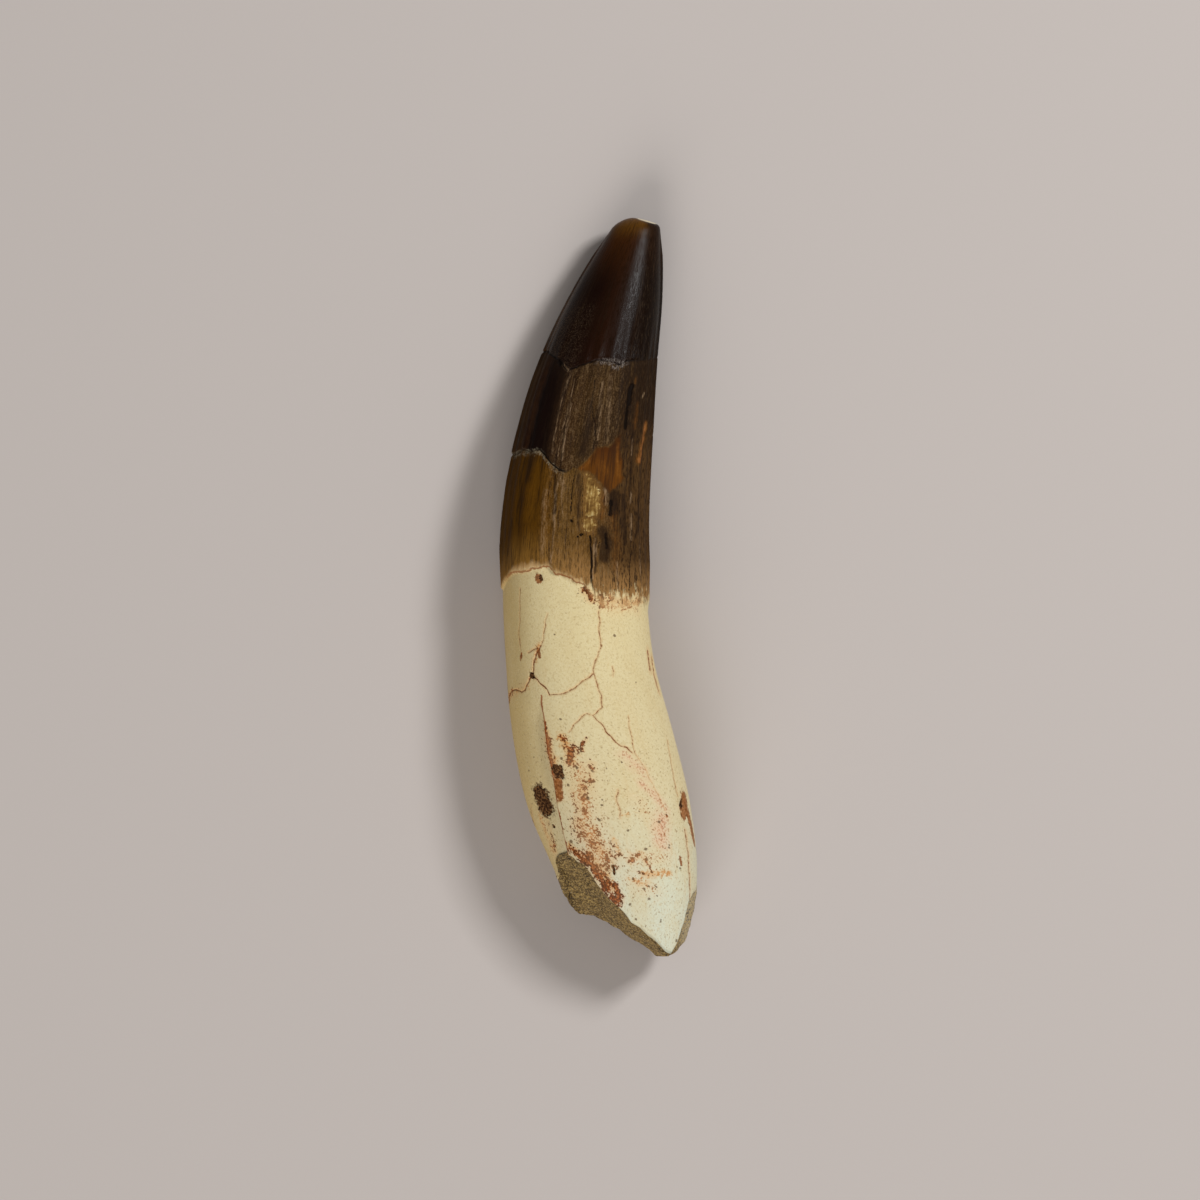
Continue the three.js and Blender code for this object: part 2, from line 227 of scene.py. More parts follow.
AMBER = {
    1: [
        (0.42, 1.9, (6.45, 21.9), (6.15, 20), (5.8, 18.6), (5.55, 17)), (0.7, 0.9, (0.7, 12.6), (0.6, 9.4)),
        (1.5, 0.65, (2, 9.4), (2.5, 6.4), (2.4, 2.8)), (0.5, 0.9, (2.6, 19.9), (2.7, 17.5), (2.9, 15)),
        (0.5, 0.8, (-2.4, 15.9), (-1.2, 16.7), (-0.4, 18.4)), (1.4, 0.5, (0.4, 16.6), (1.8, 15)),
        (0.6, 0.5, (5.2, 28.4), (5, 27.6)), (0.8, 0.8, (5.3, 24.8), (5.1, 22.8), (5, 21.6)),
    ],
    -1: [
        (0.7, 0.9, (-1.4, 17), (-1.8, 11)), (0.4, 0.8, (4, 10), (3.6, 4)),
    ],
}
ROOT_CRACKS = {
    1: [
        (0.11, 0.75, (-10.9, 0), (-10.9, -3.6), (-11, -6.5), (-10.6, -9.1)),
        (0.12, 0.6, (-7.1, -3.6), (-7.5, -6.5), (-7.9, -7.9)),
        (0.15, 1, (-7.9, -7.9), (-8.6, -8.8), (-9, -10.6), (-9.2, -11.7), (-9.8, -13.2), (-10.1, -13.8),
         (-10.6, -14.2), (-11.5, -13.7), (-12.1, -14.2), (-12.4, -15.3)),
        (0.14, 0.9, (-9.8, -8.7), (-9.2, -8.4), (-8.4, -8.2)),
        (0.14, 1, (-9.2, -11.9), (-8.4, -12.4), (-7.6, -13.3), (-7, -13.8), (-6.6, -14.5)),
        (0.13, 0.9, (-6.6, -14.5), (-4.9, -14.2), (-3.4, -13.6), (-2, -12.6), (-1.1, -11.8), (-0.7, -11.5)),
        (0.12, 0.85, (-0.7, -11.5), (-0.5, -10.2), (0.1, -8.7), (0.5, -7.8), (0.3, -6.3), (0.2, -4.5),
         (0.2, -3.2)),
        (0.12, 0.9, (-0.7, -11.5), (-0.2, -12.8), (0.2, -14.1), (0.5, -15.2), (0.5, -16.1), (-0.2, -16.7),
         (-0.9, -17.1)),
        (0.12, 0.75, (-0.9, -17.1), (-1.6, -16.9), (-2.4, -17.3), (-3, -18), (-4, -19.5)),
        (0.13, 0.95, (-0.9, -17.1), (0.2, -18.2), (1.7, -20), (3, -21.3), (3.9, -21.5), (4.6, -22.2)),
        (0.11, 0.7, (4.1, -17.3), (4.3, -19.5), (5, -22.4)),
        (0.11, 0.5, (5, -22.4), (6.4, -24.6), (7.6, -27), (8.9, -29.8)),
        (0.13, 0.75, (2.6, -27.2), (2.4, -28.6), (2.7, -29.6), (3, -30.4), (2.9, -30.9)),
        (0.14, 0.8, (9.4, -20.6), (9.8, -23.4), (10.3, -26), (10.7, -28)),
        (0.15, 0.9, (11, -29.4), (11.3, -31.2)),
        (0.2, 0.9, (11.7, -32.6), (12.05, -35), (12.25, -37.5), (12.4, -40), (12.4, -42)),
        (0.4, 0.9, (7, -8.6), (7.25, -11.2)), (0.4, 1, (7.5, -9.4), (7.8, -11.7), (8.4, -14)),
        (0.12, 0.7, (2.1, -10.7), (2.1, -11.9)),
    ],
    -1: [
        (0.13, 0.9, (-6, -3), (-5.2, -7), (-5.8, -11), (-4.6, -15), (-3.8, -16.2)),
        (0.14, 1, (-3.8, -16.2), (-1, -17.4), (1.6, -16.6), (4.4, -18.4), (7.8, -17.8), (9.4, -18.6)),
        (0.14, 1, (1.6, -16.6), (2.4, -21), (1.8, -26), (3.4, -31), (3, -36), (4.2, -41)),
        (0.12, 0.8, (-3.8, -16.2), (-6.2, -19.5), (-6.6, -24), (-5, -29)),
        (0.12, 0.8, (7.8, -17.8), (8.6, -23), (9.8, -28)),
    ],
}
LEDGE_CRACK = [
    (-7.8, -14.5), (-7.6, -16.6), (-7.4, -18.2), (-7.2, -20), (-6.9, -22), (-6.4, -24.4), (-6.1, -26.2),
    (-5.8, -28.2), (-5.5, -30), (-5.1, -31.8), (-4.7, -33.6), (-4.4, -34.9), (-4.1, -36.2),
]
CHIP = [
    (-2.8, 16), (-1.6, 17.1), (-0.8, 18), (-0.3, 18.9), (0.3, 18.6), (1.4, 18.8), (2, 19.4), (2.3, 20.1),
    (3.1, 20.4), (3.1, 18.5), (3.4, 16.2), (3.4, 14.6), (2.6, 13.4), (1.4, 12.8), (0.7, 13.4), (0.1, 14.3),
    (-0.6, 15.2), (-1.6, 15.5), (-2.4, 15.6),
]
BARE_PATCHES = [
    [(-1.6, 15.2), (-0.6, 14.2), (0.1, 13.3), (0.5, 12.6), (0, 11.6), (0.2, 11), (0, 10.2), (-0.3, 9.5),
     (-1.7, 9.7), (-1.8, 11), (-1.6, 12.5), (-1.7, 14)],
    [(-1.8, 9.2), (-0.7, 9.3), (-0.6, 8.4), (-1, 7.4), (-1.7, 7.7), (-2, 8.3)],
]
BROWN_CRUSTS = {
    1: [
        (1.9, 1, (-8.15, -28), (-7.6, -29.5)), (0.5, 0.8, (-8.5, -26.9), (-8.4, -27.6)),
        (0.8, 1, (-5.8, -24.4), (-5.4, -25.1)), (0.4, 0.9, (-5.2, -24), (-5.1, -25.2)),
        (0.4, 1, (-9.25, -11.7), (-9.15, -12)), (0.24, 1, (1.95, -37.3), (2.15, -38.5)),
        (0.3, 0.9, (-6.5, -32), (-6.4, -32.2)), (0.34, 0.8, (-7.9, 1.4), (-7.8, 1)),
        (0.5, 0.8, (11.3, -28.6), (11.2, -29.4)),
    ],
    -1: [
        (1.3, 0.9, (3, -21), (3.8, -24)), (1.1, 0.8, (-1.9, -33.2), (-1, -34.8)),
        (0.8, 0.8, (8, -29), (8.2, -31.5)),
    ],
}
BROWN_STAINS = {
    1: [
        (0.8, 1, (-5.5, -26.1), (-5.3, -28.2)), (1.3, 1, (11.6, -28.3), (11.8, -29.9)),
        (0.8, 0.9, (11.3, -29.6), (11.6, -31)), (1, 0.95, (12.1, -30.4), (12.6, -32.4), (13, -34.4)),
        (0.66, 1, (-8.3, 1.3), (-8.1, 1)), (0.45, 0.9, (-8.3, -8.4), (-8.1, -9.3)),
        (0.4, 0.9, (-10.6, -9), (-10.7, -9.6)), (0.4, 0.7, (11, -36), (11.2, -37.2)),
    ],
    -1: [
        (1.6, 0.8, (5, -25), (5.6, -28)), (1.2, 0.8, (-4.2, -29), (-3.6, -32)),
    ],
}
RUST = {
    1: [
        (1, 1.3, (-1.6, -36), (-0.6, -37.8), (0.3, -39.3)),
        (0.8, 1.25, (0.3, -39.3), (1.4, -40.9), (2.4, -42.2)),
        (0.5, 1.3, (2.2, -40), (2.75, -41.4), (2.8, -42.2)), (0.5, 0.95, (0.9, -38.5), (1.5, -39.8)),
        (0.4, 0.8, (0.4, -37.2), (0.9, -38.5)), (0.7, 1.2, (-3.7, -35.2), (-2.7, -36.1), (-1.9, -36.9)),
        (0.6, 1.5, (-7, -20.6), (-6.6, -22.6), (-6.1, -24.8)), (0.3, 1.3, (-7.4, -18), (-7, -20.8)),
        (0.24, 0.9, (-6, -27.6), (-5.4, -30.4), (-4.9, -32.8), (-4.2, -36)),
        (0.3, 0.8, (-4.5, -34.4), (-3.9, -35.6)), (0.75, 1.15, (-3.4, -21.5), (-3.8, -22.5), (-4, -23.4)),
        (0.45, 1, (-5.1, -20), (-4.5, -21.2), (-3.8, -21.6)), (0.28, 0.7, (-4.3, -20), (-4.3, -21)),
        (0.34, 0.9, (-1.7, -20.1), (-2.2, -21.2), (-2, -22)), (0.28, 0.7, (-3.2, -22.3), (-2.6, -22.6)),
        (0.7, 0.85, (-2.3, -28.2), (-2, -29.4), (-1.6, -30.4)), (0.5, 0.6, (-2.6, -25.8), (-1.9, -27.6)),
        (0.26, 0.9, (-1.7, -28.2), (-1.5, -28.6)), (0.62, 0.9, (4.2, -36.9), (4.8, -36.4), (5.9, -35.7)),
        (0.35, 0.8, (4.7, -36.4), (4.4, -35.8)), (0.36, 0.8, (6.2, -36.5), (6.8, -37.3), (7.2, -38.1)),
        (0.3, 1, (-1.75, -31.9), (-1.45, -32)), (0.32, 0.9, (0.65, -35.7), (0.95, -35.8)),
        (0.22, 0.9, (-0.35, -32.3), (-0.2, -32.6)), (0.25, 0.9, (9, -30.5), (9.2, -30.7)),
        (1.8, 0.62, (-2.5, -32.4), (-1, -35)), (1.3, 0.6, (-0.6, -32.6), (0.2, -36.2)),
        (0.9, 0.55, (1.8, -34.4), (2.6, -36.2)), (1.1, 0.52, (-3.4, -27.6), (-2.6, -31.4)),
        (0.9, 0.5, (-7.6, -30.6), (-6.8, -32.4), (-6.2, -35.6)), (1.4, 0.42, (-2.6, -24), (-1.4, -27)),
        (0.9, 0.45, (5.2, -38.2), (7.4, -38.8)), (0.7, 1.2, (-1.7, -0.5), (-1, -1.6)),
        (0.35, 1.3, (0.4, -0.8), (0.5, -2.6)), (0.35, 1.2, (1.6, -1.2), (1.4, -2)),
        (0.4, 0.7, (3, -1.5), (3.4, -1.8)), (0.25, 0.7, (3.1, -3), (4.6, -2.7)),
        (0.25, 0.7, (5.4, -1.4), (5.5, -2)), (0.6, 1, (-11.9, -14), (-12.3, -15.4)),
        (0.9, 0.65, (0.2, -1.2), (3, -2), (5.8, -1.8)), (2.6, 0.6, (-2.4, -33.2), (1.4, -36.4)),
        (0.7, 0.6, (-9.3, -29.4), (-8.7, -32.8), (-7.7, -36)), (1, 0.5, (-0.8, -23.6), (-1.2, -26.2)),
    ],
    -1: [
        (2.4, 0.8, (1.6, -36.5), (2.6, -40.5)), (1.6, 0.7, (-4.2, -28.6), (-3.6, -31.4)),
        (1.6, 0.65, (4.2, -24), (5.8, -28)), (1.2, 0.7, (8, -35), (8.2, -37)),
        (1, 0.6, (-7, -19), (-7.2, -21)), (1, 0.5, (0.4, -9.4), (0.8, -10.8)),
    ],
}
FRECKLES = {
    1: [
        (3.4, 1, (-2.8, -24.5), (-1.8, -30), (0.2, -35.5)), (2.4, 1.1, (-2.4, -32), (0.8, -37)),
        (1.5, 0.9, (-8.2, -29.5), (-6.6, -35.5)), (2.4, 0.9, (4.4, -36.4), (9, -36.2)),
        (2.6, 0.9, (4.6, -39.4), (7.4, -40.6)), (2.6, 0.7, (5.4, -28.4), (8.6, -33.4)),
        (1.6, 0.8, (-7, -20), (-6, -25)), (1.8, 0.8, (0.6, -2.6), (5.6, -3)),
        (1.4, 0.7, (-8.2, -7.6), (-9.4, -12.4), (-12, -15)),
    ],
    -1: [
        (4, 0.9, (0, -30), (2, -38)), (2.4, 0.8, (4, -18), (5, -25)),
    ],
}
OCHRE = {
    1: [
        (1, 0.8, (6.2, -38.6), (7.4, -38.4), (9.6, -38.5)), (1.2, 0.6, (4.3, -39.2), (6.5, -39.8)),
        (1, 0.8, (-3.9, -34.8), (-1.8, -36.6)), (1.7, 0.7, (-1.2, -35.8), (1.8, -40.6)),
        (1, 0.8, (-7.2, -19.4), (-6.4, -22.8)), (1.1, 0.8, (-5, -20), (-3.6, -23.2)),
        (1.2, 0.7, (-5.9, -23), (-5.4, -28.4)), (1.6, 0.5, (-2.4, -26.5), (-1.8, -31)),
        (2.4, 0.55, (-2.4, -31.5), (0.2, -35.5)), (1.2, 0.6, (11.4, -28), (12.6, -33)),
        (1.2, 0.45, (2.2, -33.6), (2.6, -36)), (1.2, 0.5, (-8.2, -30.6), (-6.4, -35.6)),
        (1, 0.45, (-12.2, -14.8), (-9.6, -13.4)), (0.7, 0.6, (-8.2, -7.6), (-8.6, -9.6)),
        (1, 0.6, (-1.7, -0.6), (-0.8, -1.8)), (1, 0.45, (0.4, -1.6), (5.4, -2.2)),
        (0.7, 0.45, (7.4, -9.4), (8.3, -13.8)), (0.8, 0.4, (3.4, -30.6), (5.6, -30)),
    ],
    -1: [
        (4, 0.5, (0, -31), (2, -38)), (2.6, 0.4, (3.6, -18), (4.2, -23)),
    ],
}
PINK = {
    1: [
        (1.7, 0.8, (8.6, -31), (8.4, -34.2)), (1.3, 0.6, (6, -26.4), (7.4, -27.6), (9, -29.8)),
        (2, 0.45, (3.6, -22.4), (6.4, -25.4)),
    ],
    -1: [
        (2.6, 0.5, (-2.4, -21), (-1.6, -27)),
    ],
}
DARK_SPECKS = [
    (-0.2, -31), (0, -31.2), (4, -32.7), (8.1, -31.4), (8.4, -31.2), (9.5, -34.6), (9.5, -35), (6.4, -35.1),
    (6.8, -34.7), (0.5, -28.4), (0.5, -29.2), (-4.1, -26.5), (-1.4, -26.7), (-0.9, -24.5), (-5.1, -22.8),
    (-2.9, -24.3), (1.2, -24.3), (3.1, -23.5), (-3.3, -32.6), (-3.8, -34.2), (-3, -34.3), (4.6, -39),
    (4.6, -39.2), (6.8, -41.8), (7.9, -41.4), (7.9, -40.2), (6.1, -40.5), (6.8, -40.2), (8.4, -44.8),
    (8.35, -45.1), (5.1, -44.8), (10.5, -47.6), (6.3, -45.7), (10.6, -37.6), (11.1, -37.8), (4.3, -42.6),
    (-9, -22.8), (-9.6, -24.6), (-3.6, -31.1), (-1.5, -28.2), (5.5, -30), (0.5, -7.8), (-9, 5.2),
    (-0.3, 9.8), (9, -47), (-6, -6.4), (-5.2, -17.8), (2.4, -6.6), (5.2, -12.8),
]


def distance_to_path(u, v, path):
    """Distance from each point to an open path, in millimetres on the unrolled skin."""
    best = np.full(u.shape, 1e3)
    for (u0, v0), (u1, v1) in zip(path[:-1], path[1:]):
        du = u1 - u0
        dv = v1 - v0
        share = np.clip(((u - u0) * du + (v - v0) * dv) / (du * du + dv * dv + 1e-12), 0, 1)
        best = np.minimum(best, np.hypot(u - u0 - share * du, v - v0 - share * dv))
    return best


def path_on_skin(points, side):
    return [(float(unroll(angle_of(x, y, side), y, side)), y) for x, y in points]


def depth_inside(u, v, outline, side):
    """Millimetres inside a closed outline, negative outside it."""
    corners = path_on_skin(outline, side)
    inside = np.zeros(u.shape, bool)
    for (u0, v0), (u1, v1) in zip(corners, corners[1:] + corners[:1]):
        crosses = (v0 > v) != (v1 > v)
        inside ^= crosses & (u < (u1 - u0) * (v - v0) / (v1 - v0 + 1e-12) + u0)
    away = distance_to_path(u, v, corners + corners[:1])
    return np.where(inside, away, -away)


def strokes_at(u, v, side, strokes):
    """The strongest stroke at each point: its strength along the middle, 0 less half widths away."""
    best = np.full(u.shape, -2.0)
    for half_width, strength, *points in strokes:
        away = distance_to_path(u, v, path_on_skin(points, side))
        best = np.maximum(best, strength - away / half_width)
    return best


STROKES = {
    "split": CROWN_SPLITS, "lit_ridge": LIT_RIDGES, "shade": DARK_SHADES, "amber": AMBER,
    "hairline": ROOT_CRACKS, "crust": BROWN_CRUSTS, "brown": BROWN_STAINS, "rust": RUST,
    "ochre": OCHRE, "pink": PINK, "freckle": FRECKLES,
}
LINES = {
    "upper_break": UPPER_BREAK, "lower_break": LOWER_BREAK,
    "enamel_edge": ENAMEL_EDGE, "brown_edge": BROWN_EDGE,
}


def wobble(points, size, seed):
    """Smooth noise from -1 to 1 at each point, with swells about size millimetres long."""
    shift = Vector((seed * 7.3, seed * 3.1, seed * 5.7))
    return np.array([noise.noise(Vector(p) / size + shift) for p in points])


TUBE_RADIUS = 9


def unbend(angle, y):
    """Places on a straight tube that stands in for the tooth, so that noise runs along its grain."""
    return np.stack([TUBE_RADIUS * np.cos(np.radians(angle)), TUBE_RADIUS * np.sin(np.radians(angle)), y], -1)


WANDER = 0.22
WANDER_SIZE = 1.1
GRAIN_WANDER_SHARE = 0.45


def marks_at(angle, y):
    """Every mark of the skin at each place, as a stroke's strength or as millimetres from it."""
    upper = np.sin(np.radians(angle)) > -0.15
    tube = unbend(angle, y)
    stray_u = WANDER * wobble(tube, WANDER_SIZE, 21)
    stray_v = WANDER * wobble(tube, WANDER_SIZE, 22)
    marks = {name: np.full(angle.shape, -2.0) for name in STROKES}
    for side, mask in ((1, upper), (-1, ~upper)):
        u = unroll(angle[mask], y[mask], side)
        for name, strokes in STROKES.items():
            stray = GRAIN_WANDER_SHARE if name in ("split", "lit_ridge") else 1
            marks[name][mask] = strokes_at(
                u + stray * stray_u[mask], y[mask] + stray * stray_v[mask], side, strokes[side])
    u = unroll(angle, y, 1) + stray_u
    v = y + stray_v
    specks = [(0.15 + 0.04 * (place % 4), 1, spot, spot) for place, spot in enumerate(DARK_SPECKS)]
    marks["speck"] = np.where(upper, strokes_at(u, v, 1, specks), -2)
    marks["chip"] = np.where(upper, depth_inside(u, v, CHIP, 1), -9)
    patches = [depth_inside(u, v, patch, 1) for patch in BARE_PATCHES]
    marks["patch"] = np.where(upper, np.max(patches, axis=0), -9)
    marks["ledge"] = np.where(upper, distance_to_path(u, v, path_on_skin(LEDGE_CRACK, 1)), 9)
    ledge_x = np.interp(-y, [-v for _, v in LEDGE_CRACK], [x for x, _ in LEDGE_CRACK])
    marks["left_of_ledge"] = np.where(upper, ledge_x - skin(angle, y, 0)[..., 0], -9)
    for name, line in LINES.items():
        marks["above_" + name] = y - line_y(line, angle)
    return marks


FLUTES = 24
FLUTE_DEPTH = 0.3
KEEL_HEIGHT = 0.3
WRINKLE_DEPTH = 0.035
ENAMEL_THICKNESS = 0.28
SPLIT_DEPTH = 0.24
RIDGE_HEIGHT = 0.07
CHIP_DEPTH = 0.22
PATCH_DEPTH = 0.16
UPPER_BREAK_DEPTH = 0.16
UPPER_BREAK_WIDTH = 0.16
LOWER_BREAK_DEPTH = 0.24
LOWER_BREAK_WIDTH = 0.18
BELOW_BREAK_DROP = 0.1
DENT_DEPTH = 0.06
SMALL_DENT_DEPTH = 0.03
HAIRLINE_DEPTH = 0.14
LEDGE_DROP = 0.45
CRUST_DEPTH = 0.1


def relief(angle, y, marks):
    """How far the skin sinks below the plain oval at each place, in millimetres."""
    tube = unbend(angle, y)
    from_edge = marks["above_enamel_edge"]
    leftward = -np.cos(np.radians(angle))
    softness = 0.3 + 1.1 * smooth(-leftward, 0.1, 0.3)
    crown = smooth(from_edge / softness, -1.0, 0.6)

    # The enamel: flutes that die out towards the tip, keels at both sides and fine wrinkles.
    drift = wobble(tube * (1, 1, 0.12), 5, 1)
    fluted = smooth(from_edge, 0.5, 4) * (1 - smooth(y, 28, 38))
    wave = 0.5 - 0.5 * np.cos(np.radians(angle + 5 * drift) * FLUTES)
    sink = FLUTE_DEPTH * fluted * wave * (0.6 + 0.5 * wobble(tube * (1, 1, 0.3), 4, 2))
    to_side = np.minimum(angle % 180, 180 - angle % 180)
    keeled = smooth(from_edge, 0, 6) * (1 - smooth(y, 44, 49))
    sink -= KEEL_HEIGHT * keeled * (1 - smooth(to_side, 0, 6))
    wrinkles = 1 + wobble(tube * (1, 1, 0.16), 0.8, 3)
    sink += crown * WRINKLE_DEPTH * wrinkles * (1 - 0.6 * smooth(y, 30, 36))

    # The dentine: shallow dents, a step down from the enamel that dies out along the root, hairline cracks.
    dents = DENT_DEPTH * (1 + wobble(tube * (1, 1, 0.5), 5, 4))
    dents = dents + SMALL_DENT_DEPTH * (1 + wobble(tube * (1, 1, 0.3), 1.6, 5))
    sink += (1 - crown) * dents
    sink += ENAMEL_THICKNESS * (1 - crown) * smooth(y, -26, -3)

    # The breaks of the crown, which gape by different amounts round the tooth.
    uneven = wobble(tube, 0.9, 6)
    upper_break = marks["above_upper_break"]
    gape = 1 - 0.6 * smooth(-leftward, 0.4, 0.7)
    groove = np.exp(-((upper_break / UPPER_BREAK_WIDTH) ** 2))
    sink += crown * gape * (UPPER_BREAK_DEPTH + 0.12 * uneven) * groove
    lower_break = marks["above_lower_break"]
    gape = 0.2 + 0.8 * smooth(leftward, -0.1, 0.3)
    groove = np.exp(-((lower_break / LOWER_BREAK_WIDTH) ** 2))
    sink += crown * gape * (LOWER_BREAK_DEPTH + 0.1 * uneven) * groove
    below_break = smooth(lower_break, 0.05, -0.1) * smooth(lower_break, -4, -0.3)
    sink += crown * BELOW_BREAK_DROP * smooth(leftward, 0.2, 0.5) * below_break

    # Splits, ridges, cracks, the chip, the bare patches, the sunk strip beside the long crack and the crusts.
    sink += crown * SPLIT_DEPTH * smooth(marks["split"], 0.0, 0.9)
    sink -= crown * RIDGE_HEIGHT * smooth(marks["lit_ridge"], -0.2, 0.8)
    sink += (1 - crown) * HAIRLINE_DEPTH * smooth(marks["hairline"], 0.0, 0.9)
    sink += CHIP_DEPTH * smooth(marks["chip"] + 0.2 * uneven, -0.3, 0.5)
    sink += PATCH_DEPTH * smooth(marks["patch"] + 0.2 * uneven, -0.3, 0.3)
    along_ledge = smooth(-14.5 - y, 0, 4) * (1 - smooth(-y, 36, 40))
    left = marks["left_of_ledge"]
    sink += LEDGE_DROP * along_ledge * smooth(left, -0.05, 0.3) * (1 - smooth(left, 0.6, 5))
    crusted = smooth(marks["crust"] + 0.5 * wobble(tube, 0.6, 7), 0.0, 0.3)
    sink += crusted * (CRUST_DEPTH + 0.08 * wobble(tube, 0.35, 8))
    return sink


# The unrolled skin starts as a flat sheet, 1 unit round and 1 unit long, with its seam underneath. It is
# cut finer twice near every line and raised or sunk mark, wrapped on the sections and joined at the seam.
COLUMNS = 156
ROWS = 216
TIP_SHARE = 0.07
TIP_EASE_Y = 45
EVEN_SHARE = 0.88
EVEN_END_Y = -34.0


def place_on_sheet(sheet):
    """Angle and y of each point of the flat sheet: close near the tip's pole, even, then out to the break."""
    angle = (90 + 360 * sheet[:, 0]) % 360
    down = 0.5 - sheet[:, 1]
    near_tip = TIP_Y - (TIP_Y - TIP_EASE_Y) * (down / TIP_SHARE) ** 1.6
    edge = line_y(BREAK_EDGE, angle)
    share = np.clip((down - TIP_SHARE) / (1 - TIP_SHARE), 0, 1)
    plain = TIP_EASE_Y + share * (EVEN_END_Y - TIP_EASE_Y) / EVEN_SHARE
    ended = EVEN_END_Y + (share - EVEN_SHARE) / 0.12 * (edge - EVEN_END_Y)
    below = np.where(share < EVEN_SHARE, plain, ended)
    return angle, np.where(down < TIP_SHARE, near_tip, below)


def sheet_array(mesh):
    return np.array([vertex.co[:2] for vertex in mesh.verts])


def row_on_seam(edge):
    """The row of an edge that lies along either side of the sheet, where the seam will close, or None."""
    if all(abs(abs(vertex.co.x) - 0.5) < 1e-6 for vertex in edge.verts):
        return round(edge.verts[0].co.y + edge.verts[1].co.y, 6)
    return None


tooth_bm = bmesh.new()
bmesh.ops.create_grid(tooth_bm, x_segments=COLUMNS, y_segments=ROWS, size=0.5)
for reach, slack in ((0.4, 1.5), (0.13, 0.6)):
    tooth_bm.verts.index_update()
    angle, y = place_on_sheet(sheet_array(tooth_bm))
    marks = marks_at(angle, y)
    on_crown = marks["above_enamel_edge"] > -0.6
    on_root = marks["above_enamel_edge"] < 0.6
    lined = np.min([
        np.abs(marks["above_upper_break"]), np.abs(marks["above_lower_break"]),
        np.abs(marks["above_enamel_edge"]), np.abs(marks["ledge"]),
        np.where(on_crown, np.abs(marks["chip"]), 9), np.where(on_crown, np.abs(marks["patch"]), 9),
    ], axis=0) < reach
    lined |= on_crown & ((marks["split"] > -slack) | (marks["lit_ridge"] > 0.7 - slack))
    lined |= on_root & ((marks["hairline"] > -slack) | (marks["crust"] > 0.9 - slack))
    lined |= on_root & ((marks["rust"] > 1.4 - slack) | (marks["speck"] > 0.3 - slack))
    near = set(np.flatnonzero(lined).tolist())
    cut = {edge for face in tooth_bm.faces for edge in face.edges
           if any(vertex.index in near for vertex in face.verts)}
    seam_rows = {row_on_seam(edge) for edge in cut} - {None}
    cut |= {edge for edge in tooth_bm.edges if row_on_seam(edge) in seam_rows}
    bmesh.ops.subdivide_edges(tooth_bm, edges=list(cut), cuts=1, use_grid_fill=True)

round_layer = tooth_bm.verts.layers.float.new("turned")
along_layer = tooth_bm.verts.layers.float.new("along")
worn_layer = tooth_bm.verts.layers.float.new("worn")
angle, y = place_on_sheet(sheet_array(tooth_bm))
points = skin(angle, y, relief(angle, y, marks_at(angle, y)))
beyond_facet = (points - FACET_POINT) @ FACET_NORMAL
proud = (beyond_facet + np.hypot(beyond_facet, FACET_EDGE)) / 2
points = points - proud[:, None] * FACET_NORMAL
points[:, 2] = np.maximum(points[:, 2], 0)
for vertex, point, turned, along, cut_off in zip(tooth_bm.verts, points, angle, y, proud):
    vertex.co = Vector(point) * MM
    vertex[round_layer] = turned
    vertex[along_layer] = along
    vertex[worn_layer] = cut_off
bmesh.ops.remove_doubles(tooth_bm, verts=tooth_bm.verts, dist=0.002 * MM)

# The broken root end: a thin fracture wall, then the pulp cavity going in to a blunt point.
rim = [edge for edge in tooth_bm.edges if edge.is_boundary]
for inward in (0.1, 0.3, 0.5):
    made = bmesh.ops.extrude_edge_only(tooth_bm, edges=rim)["geom"]
    rim = [part for part in made if isinstance(part, bmesh.types.BMEdge)]
    for vertex in {vertex for edge in rim for vertex in edge.verts}:
        vertex.co = vertex.co.lerp(CAVITY_TOP, inward)
bmesh.ops.holes_fill(tooth_bm, edges=rim, sides=0)
bmesh.ops.recalc_face_normals(tooth_bm, faces=tooth_bm.faces)


def new_piece(name, mesh_name, bm, smooth=True):
    """Turns finished mesh work into a named object of the scene."""
    mesh = bpy.data.meshes.new(mesh_name)
    bm.to_mesh(mesh)
    bm.free()
    mesh.polygons.foreach_set("use_smooth", [smooth] * len(mesh.polygons))
    piece = bpy.data.objects.new(name, mesh)
    bpy.context.scene.collection.objects.link(piece)
    return piece


tooth = new_piece("fossil_tooth", "tooth", tooth_bm)


def write_attribute(mesh, name, values, kind="FLOAT"):
    attribute = mesh.attributes.new(name, kind, "POINT")
    attribute.data.foreach_set("value" if kind == "FLOAT" else "vector", np.ravel(values).astype(np.float32))


def read_attribute(mesh, name):
    values = np.zeros(len(mesh.vertices), np.float32)
    mesh.attributes[name].data.foreach_get("value", values)
    return values


angle = read_attribute(tooth.data, "turned")
y = read_attribute(tooth.data, "along")
write_attribute(tooth.data, "unbent", unbend(angle, y), "FLOAT_VECTOR")
for name, values in marks_at(angle.astype(float), y.astype(float)).items():
    if name != "left_of_ledge":
        write_attribute(tooth.data, name, values)


def new_material(name):
    """A fresh material and its node tree, holding one shader already joined to the output."""
    material = bpy.data.materials.new(name)
    material.use_nodes = True
    tree = material.node_tree
    tree.nodes.clear()
    output = tree.nodes.new("ShaderNodeOutputMaterial")
    shader = tree.nodes.new("ShaderNodeBsdfPrincipled")
    tree.links.new(shader.outputs["BSDF"], output.inputs["Surface"])
    return material, tree, shader


def new_node(kind, *values):
    """A node of that kind in the tree that the sockets among values belong to."""
    tree = next(value.id_data for value in values if isinstance(value, bpy.types.NodeSocket))
    return tree.nodes.new(kind)


def join(socket, value):
    """Sets a socket to a number or colour, or links it to another node's output."""
    if isinstance(value, bpy.types.NodeSocket):
        socket.id_data.links.new(value, socket)
    else:
        socket.default_value = value


